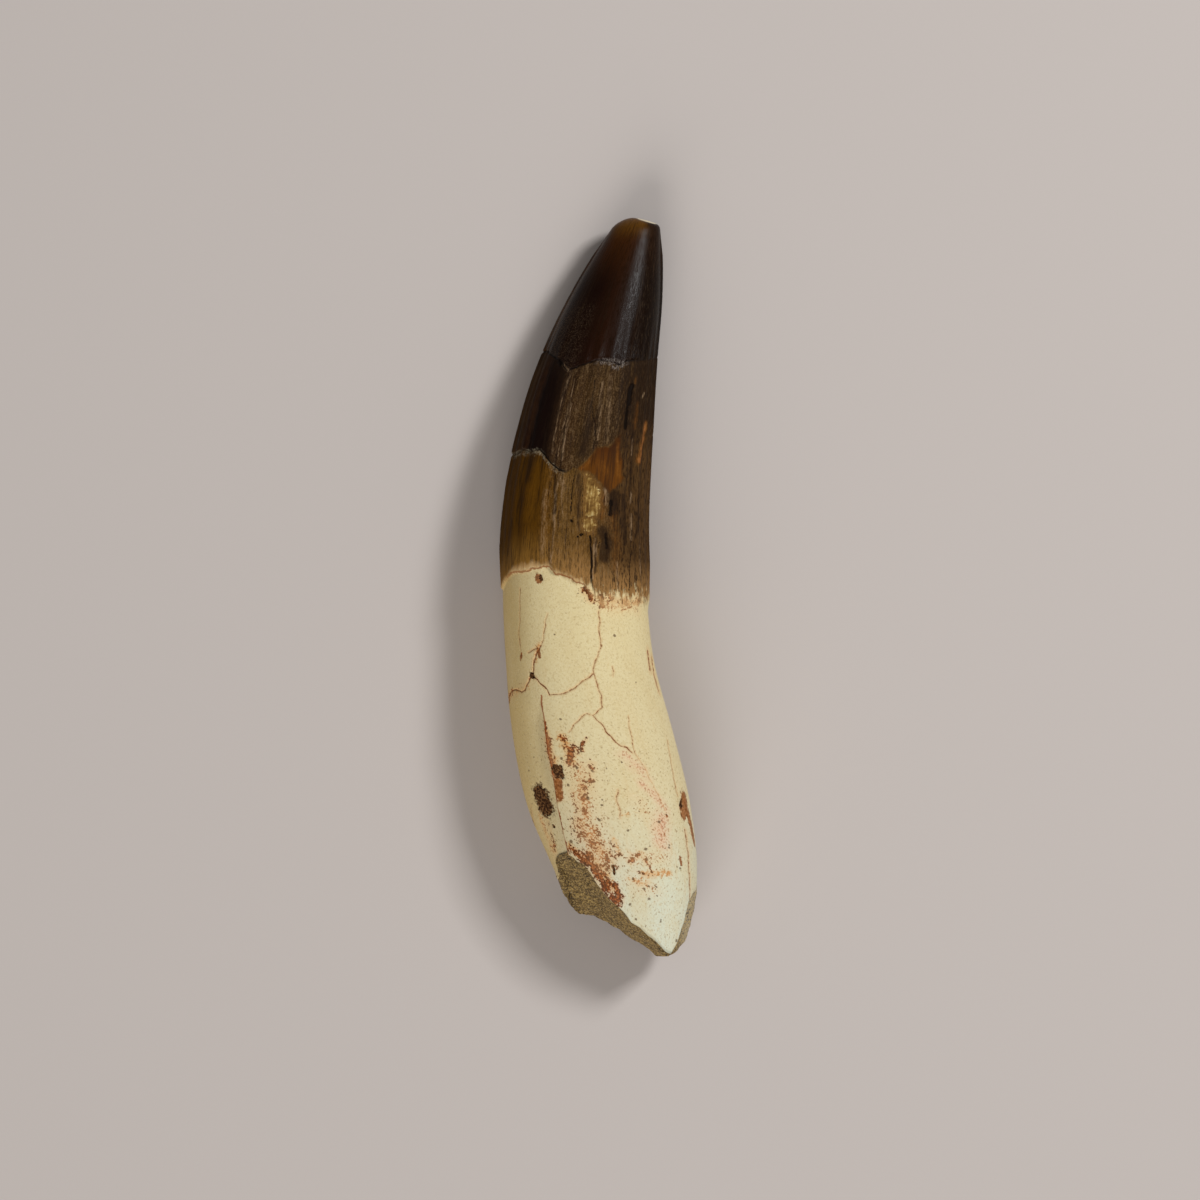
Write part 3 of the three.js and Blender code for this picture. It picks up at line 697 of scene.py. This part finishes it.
def maths(operation, *values):
    node = new_node("ShaderNodeMath", *values)
    node.operation = operation
    for socket, value in zip(node.inputs, values):
        join(socket, value)
    return node.outputs[0]


def chained(operation, values):
    result = values[0]
    for value in values[1:]:
        result = maths(operation, result, value)
    return result


def both(*shares):
    return chained("MULTIPLY", shares)


def added(*values):
    return chained("ADD", values)


def either(*shares):
    return chained("MAXIMUM", shares)


def centred(noise_value, spread):
    """Noise from 0 to 1 turned into one that averages nothing and is spread wide."""
    return maths("MULTIPLY_ADD", noise_value, spread, -spread / 2)


def eased(value, low, high, start=0, end=1):
    """value eased from start at low to end at high."""
    node = new_node("ShaderNodeMapRange", value)
    node.interpolation_type = "SMOOTHSTEP"
    for socket, setting in zip(node.inputs, (value, low, high, start, end)):
        join(socket, setting)
    return node.outputs[0]


def grain(vector, stretch, scale, detail=3, roughness=0.55):
    """Noise from 0 to 1 with scale grains to the millimetre, stretched along each axis."""
    mapping = new_node("ShaderNodeMapping", vector)
    join(mapping.inputs["Vector"], vector)
    mapping.inputs["Scale"].default_value = stretch
    node = new_node("ShaderNodeTexNoise", vector)
    join(node.inputs["Vector"], mapping.outputs[0])
    node.inputs["Scale"].default_value = scale
    node.inputs["Detail"].default_value = detail
    node.inputs["Roughness"].default_value = roughness
    return node.outputs["Fac"]


def hue(red, green, blue):
    """A colour given as it shows on screen, 0 to 255, as the shader wants it."""
    shares = [value / 255 for value in (red, green, blue)]
    return tuple(s / 12.92 if s <= 0.04045 else ((s + 0.055) / 1.055) ** 2.4 for s in shares) + (1.0,)


def layered(under, *layers):
    """Colours laid over one another in order, each by its share; each is a socket or an on-screen triple."""
    for share, over in layers:
        node = new_node("ShaderNodeMix", share)
        node.data_type = "RGBA"
        join(node.inputs[0], share)
        for socket, colour in ((node.inputs[6], under), (node.inputs[7], over)):
            join(socket, hue(*colour) if isinstance(colour, tuple) else colour)
        under = node.outputs[2]
    return under


def colour_ramp(value, *stops):
    """Colours that follow a value; each stop is its place and its on-screen red, green and blue."""
    node = new_node("ShaderNodeValToRGB", value)
    join(node.inputs[0], value)
    ramp = node.color_ramp
    while len(ramp.elements) < len(stops):
        ramp.elements.new(0.5)
    for element, (position, *colour) in zip(ramp.elements, stops):
        element.position = position
        element.color = hue(*colour)
    return node.outputs[0]


def add_bump(shader, height, strength):
    """Relief that only the light sees, from a height in millimetres."""
    bump = new_node("ShaderNodeBump", height)
    bump.inputs["Strength"].default_value = strength
    bump.inputs["Distance"].default_value = MM
    join(bump.inputs["Height"], height)
    join(shader.inputs["Normal"], bump.outputs[0])


# Enamel and dentine are one finish: glossy brown-black enamel over satin cream dentine, with rust in the
# cracks, brown crusts of the rock it lay in and small chips down to the bare cream.
tooth_material, skin_tree, shader = new_material("enamel and dentine")


def skin_value(name, output="Fac"):
    node = skin_tree.nodes.new("ShaderNodeAttribute")
    node.attribute_name = name
    return node.outputs[output]


def ragged(name, noise_value, spread):
    """A mark of the skin with its edge made ragged by noise."""
    return added(skin_value(name), centred(noise_value, spread))


flow = skin_value("unbent", "Vector")
split_flow = new_node("ShaderNodeSeparateXYZ", flow)
join(split_flow.inputs[0], flow)
rightward, _, along = split_flow.outputs
coarse = grain(flow, (1, 1, 1), 1.1, 4)
fine = grain(flow, (1, 1, 1), 2.8, 4, 0.65)
tiny = grain(flow, (1, 1, 1), 7, 3, 0.65)
dots = grain(flow, (1, 1, 0.8), 4.4, 2)
splinters = grain(flow, (1, 1, 0.26), 4.8, 3, 0.62)
broad = grain(flow, (1, 1, 0.5), 0.28)
streak = grain(flow, (1, 1, 0.07), 1.7, 5, 0.65)
fine_streak = grain(flow, (1, 1, 0.09), 5, 4, 0.65)

# The crown in three zones parted by the old breaks: a smooth amber-black tip, a matt brown middle with a
# black left flank, and an olive-brown base that fades to tan.
across = maths("DIVIDE", added(rightward, centred(coarse, 1.6), centred(streak, 4), 9), 18)
tip_colour = layered(
    colour_ramp(across, (0, 66, 40, 12), (0.03, 24, 9, 3), (0.3, 22, 7, 3), (0.5, 36, 16, 5),
                (0.72, 26, 13, 6), (1, 12, 6, 3)),
    (both(eased(along, 40, 49, 0, 0.8), eased(rightward, 6, -6, 0.25, 1)), (66, 34, 8)),
    (both(eased(along, 46.5, 50, 0, 0.8), eased(rightward, 6.5, 2)), (104, 68, 20)),
)
below_tip = eased(ragged("above_upper_break", streak, 5), -3, 0.3, 0, 0.5)
middle_colour = layered(
    colour_ramp(across, (0, 64, 42, 18), (0.08, 44, 22, 8), (0.12, 18, 5, 2), (0.19, 18, 5, 2),
                (0.27, 42, 25, 11), (0.36, 60, 38, 15), (0.48, 64, 43, 17), (0.64, 60, 40, 16),
                (0.76, 44, 27, 9), (1, 36, 21, 7)),
    (below_tip, (34, 21, 10)),
)
base_fade = eased(ragged("above_brown_edge", streak, 4), 6, -0.4, 0, 0.9)
base_colour = layered(
    colour_ramp(across, (0, 72, 45, 4), (0.14, 80, 49, 3), (0.3, 98, 63, 10), (0.42, 102, 72, 30),
                (0.6, 102, 70, 26), (0.76, 72, 48, 20), (1, 74, 50, 24)),
    (base_fade, layered((140, 100, 42), (eased(rightward, -6, 2), (168, 124, 72)))),
)
in_tip = eased(ragged("above_upper_break", tiny, 0.5), -0.2, 0.1)
sharp_base = eased(ragged("above_lower_break", tiny, 0.4), 0.1, -0.1)
soft_base = eased(ragged("above_lower_break", streak, 5), 3.5, -3.5)
in_base = layered(sharp_base, (eased(rightward, 3.4, 5.2), soft_base))

# Over the zones, in the order they are laid: pale streaks of painted sheen, dark streaks and grit of the matt
# enamel, the crazing of the tip, dark shades, the chip with its amber, the bare cream patches, pale ridges
# whose crests carry a painted highlight and the black splits.
matt = both(maths("SUBTRACT", 1, in_tip), eased(rightward, -5, -3), eased(rightward, 6, 4, 0.4, 1))
# Pale streaks along the grain of the matt enamel are painted sheen, where its fine ridges catch the light.
sheen_streaks = both(eased(streak, 0.54, 0.64), matt, 0.34)
fine_sheen_streaks = both(eased(fine_streak, 0.55, 0.66), matt, 0.14)
dark_streaks = both(eased(fine_streak, 0.48, 0.3), 0.65)
broad_dark = both(eased(streak, 0.47, 0.36), 0.65)
grit = both(
    eased(splinters, 0.5, 0.38),
    either(eased(rightward, -6.5, -3.5, 0.12, 0.4), eased(rightward, 3, 5, 0, 0.75)),
)
pale_grit = both(
    eased(splinters, 0.54, 0.64),
    either(both(matt, eased(rightward, 5.5, 4, 0.4, 1)), eased(rightward, 4, 5.5, 0, 0.3)), 0.26,
)
pepper = both(eased(tiny, 0.5, 0.4), matt, eased(along, 4, 18, 0.15, 0.46))
salt = both(eased(tiny, 0.52, 0.62), matt, eased(rightward, 4.8, 3.8, 0.1, 0.27))
crinkle = both(
    eased(maths("ABSOLUTE", maths("SUBTRACT", fine, 0.5)), 0.022, 0.006), in_tip,
    eased(along, 40, 36), eased(rightward, -2, -4), eased(tiny, 0.4, 0.55), 0.5,
)
shade = both(eased(ragged("shade", streak, 1.6), 0, 0.8), 0.75)
chip = eased(ragged("chip", coarse, 0.7), -0.18, 0.3)
chip_colour = layered(
    (66, 33, 9), (eased(along, 19.8, 15.5), (96, 55, 12)), (eased(streak, 0.56, 0.4, 0, 0.7), (48, 26, 8)))
amber = both(eased(ragged("amber", fine, 1.4), -0.1, 1.2), eased(fine_streak, 0.34, 0.5, 0.35, 1))
amber_colour = layered((88, 50, 10), (eased(streak, 0.4, 0.62), (136, 86, 32)))
amber_core = both(eased(ragged("amber", fine, 2), 0.7, 1.7), eased(splinters, 0.42, 0.54, 0.2, 0.8))
patch_halo = eased(ragged("patch", coarse, 0.8), -0.7, 0, 0, 0.5)
patch = eased(ragged("patch", fine, 2.4), -0.1, 0.2)
patch_colour = colour_ramp(
    both(added(fine_streak, coarse), 0.5),
    (0.38, 74, 46, 18), (0.48, 120, 88, 42), (0.55, 156, 124, 68), (0.66, 204, 182, 128),
)
# The ridges' crests painted pale: a painted highlight along each ridge.
lit_ridge = both(
    eased(ragged("lit_ridge", tiny, 1.6), -0.7, 0.9), eased(fine_streak, 0.42, 0.56, 0.1, 1),
    eased(splinters, 0.42, 0.56, 0.25, 1), eased(along, 33, 30), 0.75,
)
crown_split = both(eased(ragged("split", fine, 1.7), 0, 0.45), eased(splinters, 0.36, 0.52, 0.55, 1), 0.95)
crown_colour = layered(
    middle_colour, (in_tip, tip_colour), (in_base, base_colour),
    (sheen_streaks, (108, 82, 48)), (fine_sheen_streaks, (114, 88, 60)),
    (dark_streaks, (22, 11, 4)), (broad_dark, (34, 20, 9)),
    (grit, (24, 13, 6)), (pale_grit, (134, 108, 76)),
    (pepper, (38, 24, 13)), (salt, (124, 96, 66)),
    (crinkle, (112, 92, 70)), (shade, (30, 17, 8)),
    (chip, chip_colour), (both(amber, 0.6), amber_colour), (amber_core, (154, 98, 50)),
    (patch_halo, (120, 84, 40)), (patch, patch_colour),
    (lit_ridge, (150, 122, 92)), (crown_split, (17, 9, 5)),
)

# The root: cream dentine, whiter towards the broken end and tanned along its left flank, with ochre and
# pink stains, rust in dots and crusts, freckles, dust and dark specks. Hairline cracks go over them all.
plain_root = colour_ramp(
    eased(along, -50, 2), (0, 206, 208, 188), (0.12, 208, 206, 180), (0.4, 214, 199, 158), (1, 217, 200, 153))
flank = added(rightward, both(broad, 2))
rust_field = added(ragged("rust", coarse, 3.2), centred(dots, 2.8), centred(fine, 1.8))
rust = eased(rust_field, 0.46, 0.62)
rust_colour = colour_ramp(
    both(added(fine, dots), 0.5), (0.42, 172, 98, 42), (0.49, 128, 60, 18), (0.55, 70, 30, 10))
freckles = either(
    eased(ragged("freckle", dots, 5), 1.16, 1.3), eased(ragged("freckle", fine, 4.6), 1.22, 1.35))
freckle_colour = colour_ramp(coarse, (0.38, 176, 108, 52), (0.5, 144, 78, 34), (0.62, 94, 54, 28))
dust = both(eased(dots, 0.64, 0.69), eased(along, -14, -26, 0.25, 1), 0.6)
hairline = eased(ragged("hairline", fine, 2), 0.05, 0.9)
root_colour = layered(
    plain_root,
    (eased(flank, -3, -8.5, 0, 0.8), (194, 164, 100)),
    (eased(broad, 0.42, 0.7, 0, 0.35), (208, 186, 136)),
    (eased(fine, 0.48, 0.72, 0, 0.42), (190, 164, 112)),
    (eased(dots, 0.5, 0.68, 0, 0.32), (178, 152, 106)),
    (eased(tiny, 0.48, 0.34, 0, 0.3), (234, 224, 192)),
    (both(eased(streak, 0.55, 0.7), eased(along, -6, -12), 0.25), (206, 176, 126)),
    (both(eased(ragged("ochre", coarse, 1.6), -0.1, 0.9), 0.5), (212, 162, 98)),
    (both(eased(ragged("ochre", fine, 3.4), 0.4, 0.8), 0.75), (188, 120, 52)),
    (both(eased(ragged("pink", coarse, 1), -0.4, 0.9), 0.46), (220, 168, 138)),
    (both(eased(ragged("pink", dots, 4.6), 0.55, 0.85), 0.55), (182, 112, 80)),
    (both(eased(ragged("rust", coarse, 1), -0.3, 0.6), 0.32), (206, 150, 92)),
    (both(rust, 0.93), rust_colour),
    (both(freckles, 0.85), freckle_colour),
    (both(eased(ragged("freckle", coarse, 1.4), -0.1, 1.1), 0.22), (218, 174, 124)),
    (dust, (134, 104, 70)),
    (both(eased(ragged("speck", tiny, 1), 0, 0.5), 0.8), (92, 66, 40)),
    (eased(ragged("hairline", fine, 1.2), -1.6, 0.2, 0, 0.3), (204, 152, 98)),
    (both(hairline, 0.9), (128, 64, 30)),
    (both(eased(ragged("ledge", fine, -0.24), 0.2, 0.05), 0.85), (148, 72, 30)),
)

# Where the two meet: a thin rusty line along the enamel's edge on the left, and on the right a ragged
# fringe of brown running out over the cream. Brown stains and crusts of the rock lie over both.
raggedness = eased(rightward, -1, 2.6, 0.25, 1)
uneven = added(centred(streak, 7), centred(coarse, 4))
fringe = added(skin_value("above_brown_edge"), both(raggedness, uneven))
crown = eased(fringe, -0.4, 0.9)
tan_band = both(
    eased(ragged("above_enamel_edge", fine, 2.4), -0.5, 0.6), 0.85,
    either(eased(rightward, 2, 0), eased(coarse, 0.44, 0.6, 0.2, 0.9)),
)
enamel_line = eased(maths("ABSOLUTE", ragged("above_enamel_edge", fine, 0.7)), 0.2, 0.05)
line_strength = both(eased(rightward, 2.4, 1.2), eased(rightward, -8.8, -7.6), 0.8)
stained = both(eased(ragged("brown", fine, 1.5), 0.1, 0.4), 0.92)
stain_colour = colour_ramp(fine, (0.34, 170, 106, 54), (0.5, 140, 82, 38), (0.66, 96, 52, 24))
crust = eased(ragged("crust", fine, 1.5), 0.1, 0.35)
crust_colour = colour_ramp(dots, (0.38, 48, 28, 14), (0.5, 74, 46, 24), (0.62, 128, 90, 54))

# The breaks in the crown: dark where they gape, pale where their lips have crumbled; the pale lip of the
# upper break also holds painted glints where the tip's highlight ends on it. The worn flat at the tip is bare
# to the cream.
upper_gap = maths("ABSOLUTE", ragged("above_upper_break", fine, 0.3))
# Across the middle of the upper break the pale lip widens: crumbs, and painted glints at the foot of the
# tip's highlight.
crumb_and_glint_spread = both(eased(rightward, 1.4, 2.6), eased(rightward, 4.4, 3.4), 0.25)
upper_crumbs_and_glints = both(
    eased(maths("SUBTRACT", ragged("above_upper_break", tiny, 0.8), crumb_and_glint_spread), 0.5, 0.1),
    eased(maths("SUBTRACT", upper_gap, crumb_and_glint_spread), 0.75, 0.3),
    eased(rightward, -1, 1.4), eased(rightward, 5.2, 4.2), eased(fine, 0.4, 0.56),
    eased(tiny, 0.46, 0.56, 0.08, 1),
)
upper_dark = both(
    eased(upper_gap, 0.2, 0.07), eased(coarse, 0.36, 0.56, 0.35, 0.95), eased(rightward, 4.5, 6.5, 1, 0.3))
lower_break = ragged("above_lower_break", fine, 1.4)
lower_pale = both(
    eased(lower_break, 0.3, 0.05), eased(lower_break, -0.8, -0.3), eased(rightward, -1.6, -2.6),
    eased(tiny, 0.4, 0.58, 0.1, 1), eased(coarse, 0.4, 0.58, 0.2, 1),
)
lower_dark = both(
    eased(maths("ABSOLUTE", ragged("above_lower_break", fine, 0.2)), 0.2, 0.08),
    eased(rightward, -7, -5.6, 0.3, 1), eased(rightward, -1, -2.4, 0.12, 1), 0.9,
)
facet = eased(ragged("worn", fine, 0.16), 0.2, 0.3)
skin_colour = layered(
    root_colour, (tan_band, (196, 154, 104)), (crown, crown_colour),
    (both(enamel_line, line_strength), (136, 78, 36)),
    (stained, stain_colour), (crust, crust_colour),
    (both(upper_crumbs_and_glints, 0.8), (152, 141, 133)), (upper_dark, (18, 10, 6)),
    (both(lower_pale, 0.75), (164, 150, 124)), (lower_dark, (22, 13, 7)),
    (facet, (222, 208, 178)),
)
join(shader.inputs["Base Color"], skin_colour)

# The sheen: a polished tip with finely crazed enamel, a matt crown below it and satin dentine; whatever is
# crusted, rusty or bare is dull. The bump follows the grain of the crown and fades out on the tip.
tip_roughness = eased(both(added(splinters, tiny), 0.5), 0.42, 0.56, 0.18, 0.44)
crown_roughness = layered(eased(streak, 0.3, 0.7, 0.58, 0.8), (in_tip, tip_roughness))
skin_roughness = layered(eased(fine, 0.3, 0.7, 0.45, 0.6), (crown, crown_roughness))
dull = both(either(both(patch, crown), crust, rust), 0.7)
join(shader.inputs["Roughness"], either(skin_roughness, dull))
shader.inputs["IOR"].default_value = 1.4
shader.inputs["Specular IOR Level"].default_value = 0.08
polish = eased(along, 34, 29, 0.45, 1)
raised = added(
    both(fine_streak, crown, eased(along, 34, 28, 0.022, 0.14)),
    both(streak, crown, eased(along, 34, 28, 0.014, 0.16)),
    both(fine, polish, 0.03), both(tiny, polish, 0.02),
)
add_bump(shader, added(
    maths("SUBTRACT", raised, both(hairline, 0.06)), both(crust, tiny, 0.2),
    both(either(lower_pale, upper_crumbs_and_glints), tiny, 0.3),
), 0.6)
tooth.data.materials.append(tooth_material)

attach(tooth, "root")
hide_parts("tooth")

# The matrix: the sandstone that filled the hollow root and broke off with it. A rough plug of sand grains,
# it sits a little below the skin of the root and ends in a slanting, rounded fracture.
MATRIX_RECESS = 0.2
MATRIX_ROUNDING = 0.35
MATRIX_LOWEST_Y = -49.93
HIDDEN_SHARE = 0.2
SIDE_SHARE = 0.35
FULL_RELIEF_SHARE = 0.24
FRACTURE_CENTRE_X = 4
FRACTURE_HALF_WIDTH = 7.6
FRACTURE_HEIGHT = 7.4
FRACTURE_LINE = np.array([  # sideways place and y of the middle of the fracture, from left to right
    (-3.6, -41.4), (-2, -42.4), (0, -43.2), (2, -44.6), (4, -46.6), (6, -48.2), (8, -49.5), (10, -49.6),
    (11.6, -48),
])
MATRIX_MIDDLE = np.array((4, -36, 6.6))
LIP = 0.7
END_EDGE = round_line(
    [(12.3, -47.4), (11.3, -48.7), (9.9, -49.7), (8.6, -49.6), (-5.2, -40.6)],
    [(12.3, -47.6), (11.4, -48.9), (10.6, -49.7), (9.4, -50.2), (8.2, -50.1), (6.8, -49.1),
     (4.8, -47.9), (2.6, -46.5), (0.8, -45.4), (-0.8, -44.7), (-1.9, -44.4), (-2.8, -44.3), (-3.6, -43.9),
     (-4.4, -43.2), (-4.7, -42.2)],
)
matrix_bm = bmesh.new()
bmesh.ops.create_grid(matrix_bm, x_segments=220, y_segments=130, size=0.5)
sheet = sheet_array(matrix_bm)
angle = (90 + 360 * sheet[:, 0]) % 360
down = 0.5 - sheet[:, 1]
break_y = line_y(BREAK_EDGE, angle) + 0.35
upper_face = smooth(np.sin(np.radians(angle)), 0.02, 0.3)
slanting = np.where(np.cos(np.radians(angle)) > 0, upper_face * smooth(angle, 46, 66), upper_face)
full_end = line_y(END_EDGE, angle)
end_y = np.minimum(full_end, break_y - LIP) * (1 - slanting) + (break_y - LIP) * slanting
side_share = np.clip((down - HIDDEN_SHARE) / SIDE_SHARE, 0, 1)
recess = MATRIX_RECESS * (0.4 + 0.6 * upper_face)
side_points = skin(angle, break_y + side_share * (end_y - break_y),
                   recess + MATRIX_ROUNDING * smooth(side_share, 0.5, 1))
cavity_share = np.clip(1 - down / HIDDEN_SHARE, 0, 1)[:, None]
plug_points = side_points + cavity_share * (np.array(CAVITY_TOP) / MM - (0, 0.6, 0) - side_points)
end_share = np.clip((down - 0.55) / 0.45, 0, 1)[:, None]
middle_x = FRACTURE_CENTRE_X + FRACTURE_HALF_WIDTH * np.cos(np.radians(angle))
middle_y = np.interp(middle_x, FRACTURE_LINE[:, 0], FRACTURE_LINE[:, 1])
middle = np.stack([middle_x, middle_y, np.full(middle_x.shape, FRACTURE_HEIGHT)], -1)
points = plug_points + end_share * (middle - plug_points)
outward = points - MATRIX_MIDDLE
outward /= np.linalg.norm(outward, axis=1)[:, None] + 1e-9
lumps = 0.28 * wobble(points, 2.4, 11) + 0.14 * wobble(points, 0.9, 12) + 0.09 * wobble(points, 0.35, 13)
shown = smooth(down, HIDDEN_SHARE, FULL_RELIEF_SHARE)
points = points + outward * ((lumps - 0.12) * shown)[:, None]
points[:, 1] = np.maximum(points[:, 1], MATRIX_LOWEST_Y)
points[:, 2] = np.maximum(points[:, 2], 0)
for vertex, point in zip(matrix_bm.verts, points):
    vertex.co = Vector(point) * MM
bmesh.ops.remove_doubles(matrix_bm, verts=matrix_bm.verts, dist=0.004 * MM)
bmesh.ops.recalc_face_normals(matrix_bm, faces=matrix_bm.faces)
matrix = new_piece("sandstone_matrix", "matrix", matrix_bm)

sandstone, tree, shader = new_material("sandstone")
coordinates = tree.nodes.new("ShaderNodeTexCoord")
in_mm = tree.nodes.new("ShaderNodeMapping")
in_mm.inputs["Scale"].default_value = (1 / MM, 1 / MM, 1 / MM)
join(in_mm.inputs["Vector"], coordinates.outputs["Object"])
rock = in_mm.outputs[0]
patches = grain(rock, (1, 1, 1), 0.7)
sand = grain(rock, (1, 1, 1), 3.2, 4, 0.75)
glint = grain(rock, (1, 1, 1), 7, 2, 0.6)
split_rock = new_node("ShaderNodeSeparateXYZ", rock)
join(split_rock.inputs[0], rock)
join(shader.inputs["Base Color"], layered(
    (104, 80, 38), (eased(patches, 0.3, 0.7), (140, 112, 60)),
    # Paler towards the right side: partly paler rock, partly painted light that lifts the steep right strip
    # out of its shade.
    (both(eased(split_rock.outputs[0], 10, 12), 0.8), (196, 180, 146)),
    (eased(sand, 0.51, 0.58, 0, 0.85), (184, 154, 94)),
    (eased(sand, 0.48, 0.41, 0, 0.9), (54, 38, 18)),
    (eased(glint, 0.62, 0.72, 0, 0.7), (208, 190, 150)),
))
join(shader.inputs["Roughness"], eased(glint, 0.4, 0.75, 0.92, 0.55))
add_bump(shader, both(sand, 0.35), 0.9)
matrix.data.materials.append(sandstone)

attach(matrix, "root")
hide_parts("matrix")

# The stage: a plain pale floor that the fossil lies on, a soft light from the upper right, a broad fill
# from below the root and an even surround. The camera looks straight down, as the photograph does.
floor_bm = bmesh.new()
bmesh.ops.create_grid(floor_bm, x_segments=1, y_segments=1, size=1.5)
floor = new_piece("floor", "floor", floor_bm, smooth=False)
paper, _, shader = new_material("pale paper")
shader.inputs["Base Color"].default_value = hue(190, 181, 176)
shader.inputs["Roughness"].default_value = 0.9
floor.data.materials.append(paper)


def soft_light(name, place, size, watts, colour):
    """A square area light at place, turned to face the fossil."""
    lamp = bpy.data.lights.new(name, "AREA")
    lamp.shape = "SQUARE"
    lamp.size = size
    lamp.energy = watts
    lamp.color = colour
    light = bpy.data.objects.new(name, lamp)
    light.location = place
    light.rotation_euler = (-Vector(place)).to_track_quat("-Z", "Y").to_euler()
    bpy.context.scene.collection.objects.link(light)


soft_light("key", (0.60, 0.44, 0.72), 0.22, 7.8, (0.97, 0.99, 1))
soft_light("lower fill", (-0.3, -1.1, 0.8), 0.9, 12, (1, 0.98, 0.95))
surround = bpy.data.worlds.new("surround")
surround.use_nodes = True
surround.node_tree.nodes["Background"].inputs["Color"].default_value = (1, 0.99, 0.98, 1)
surround.node_tree.nodes["Background"].inputs["Strength"].default_value = 0.2
bpy.context.scene.world = surround
bpy.context.scene.view_settings.view_transform = "Standard"

FRAME_SIDE = 0.162
AIM = (0.0002, -0.0017)
CAMERA_HEIGHT = 1.4
SILHOUETTE_HEIGHT = 0.008
SENSOR_WIDTH_MM = 36
lens = bpy.data.cameras.new("camera")
lens.sensor_width = SENSOR_WIDTH_MM
lens.lens = SENSOR_WIDTH_MM * (CAMERA_HEIGHT - SILHOUETTE_HEIGHT) / FRAME_SIDE
camera = bpy.data.objects.new("camera", lens)
camera.location = (AIM[0], AIM[1], CAMERA_HEIGHT)
bpy.context.scene.collection.objects.link(camera)
bpy.context.scene.camera = camera
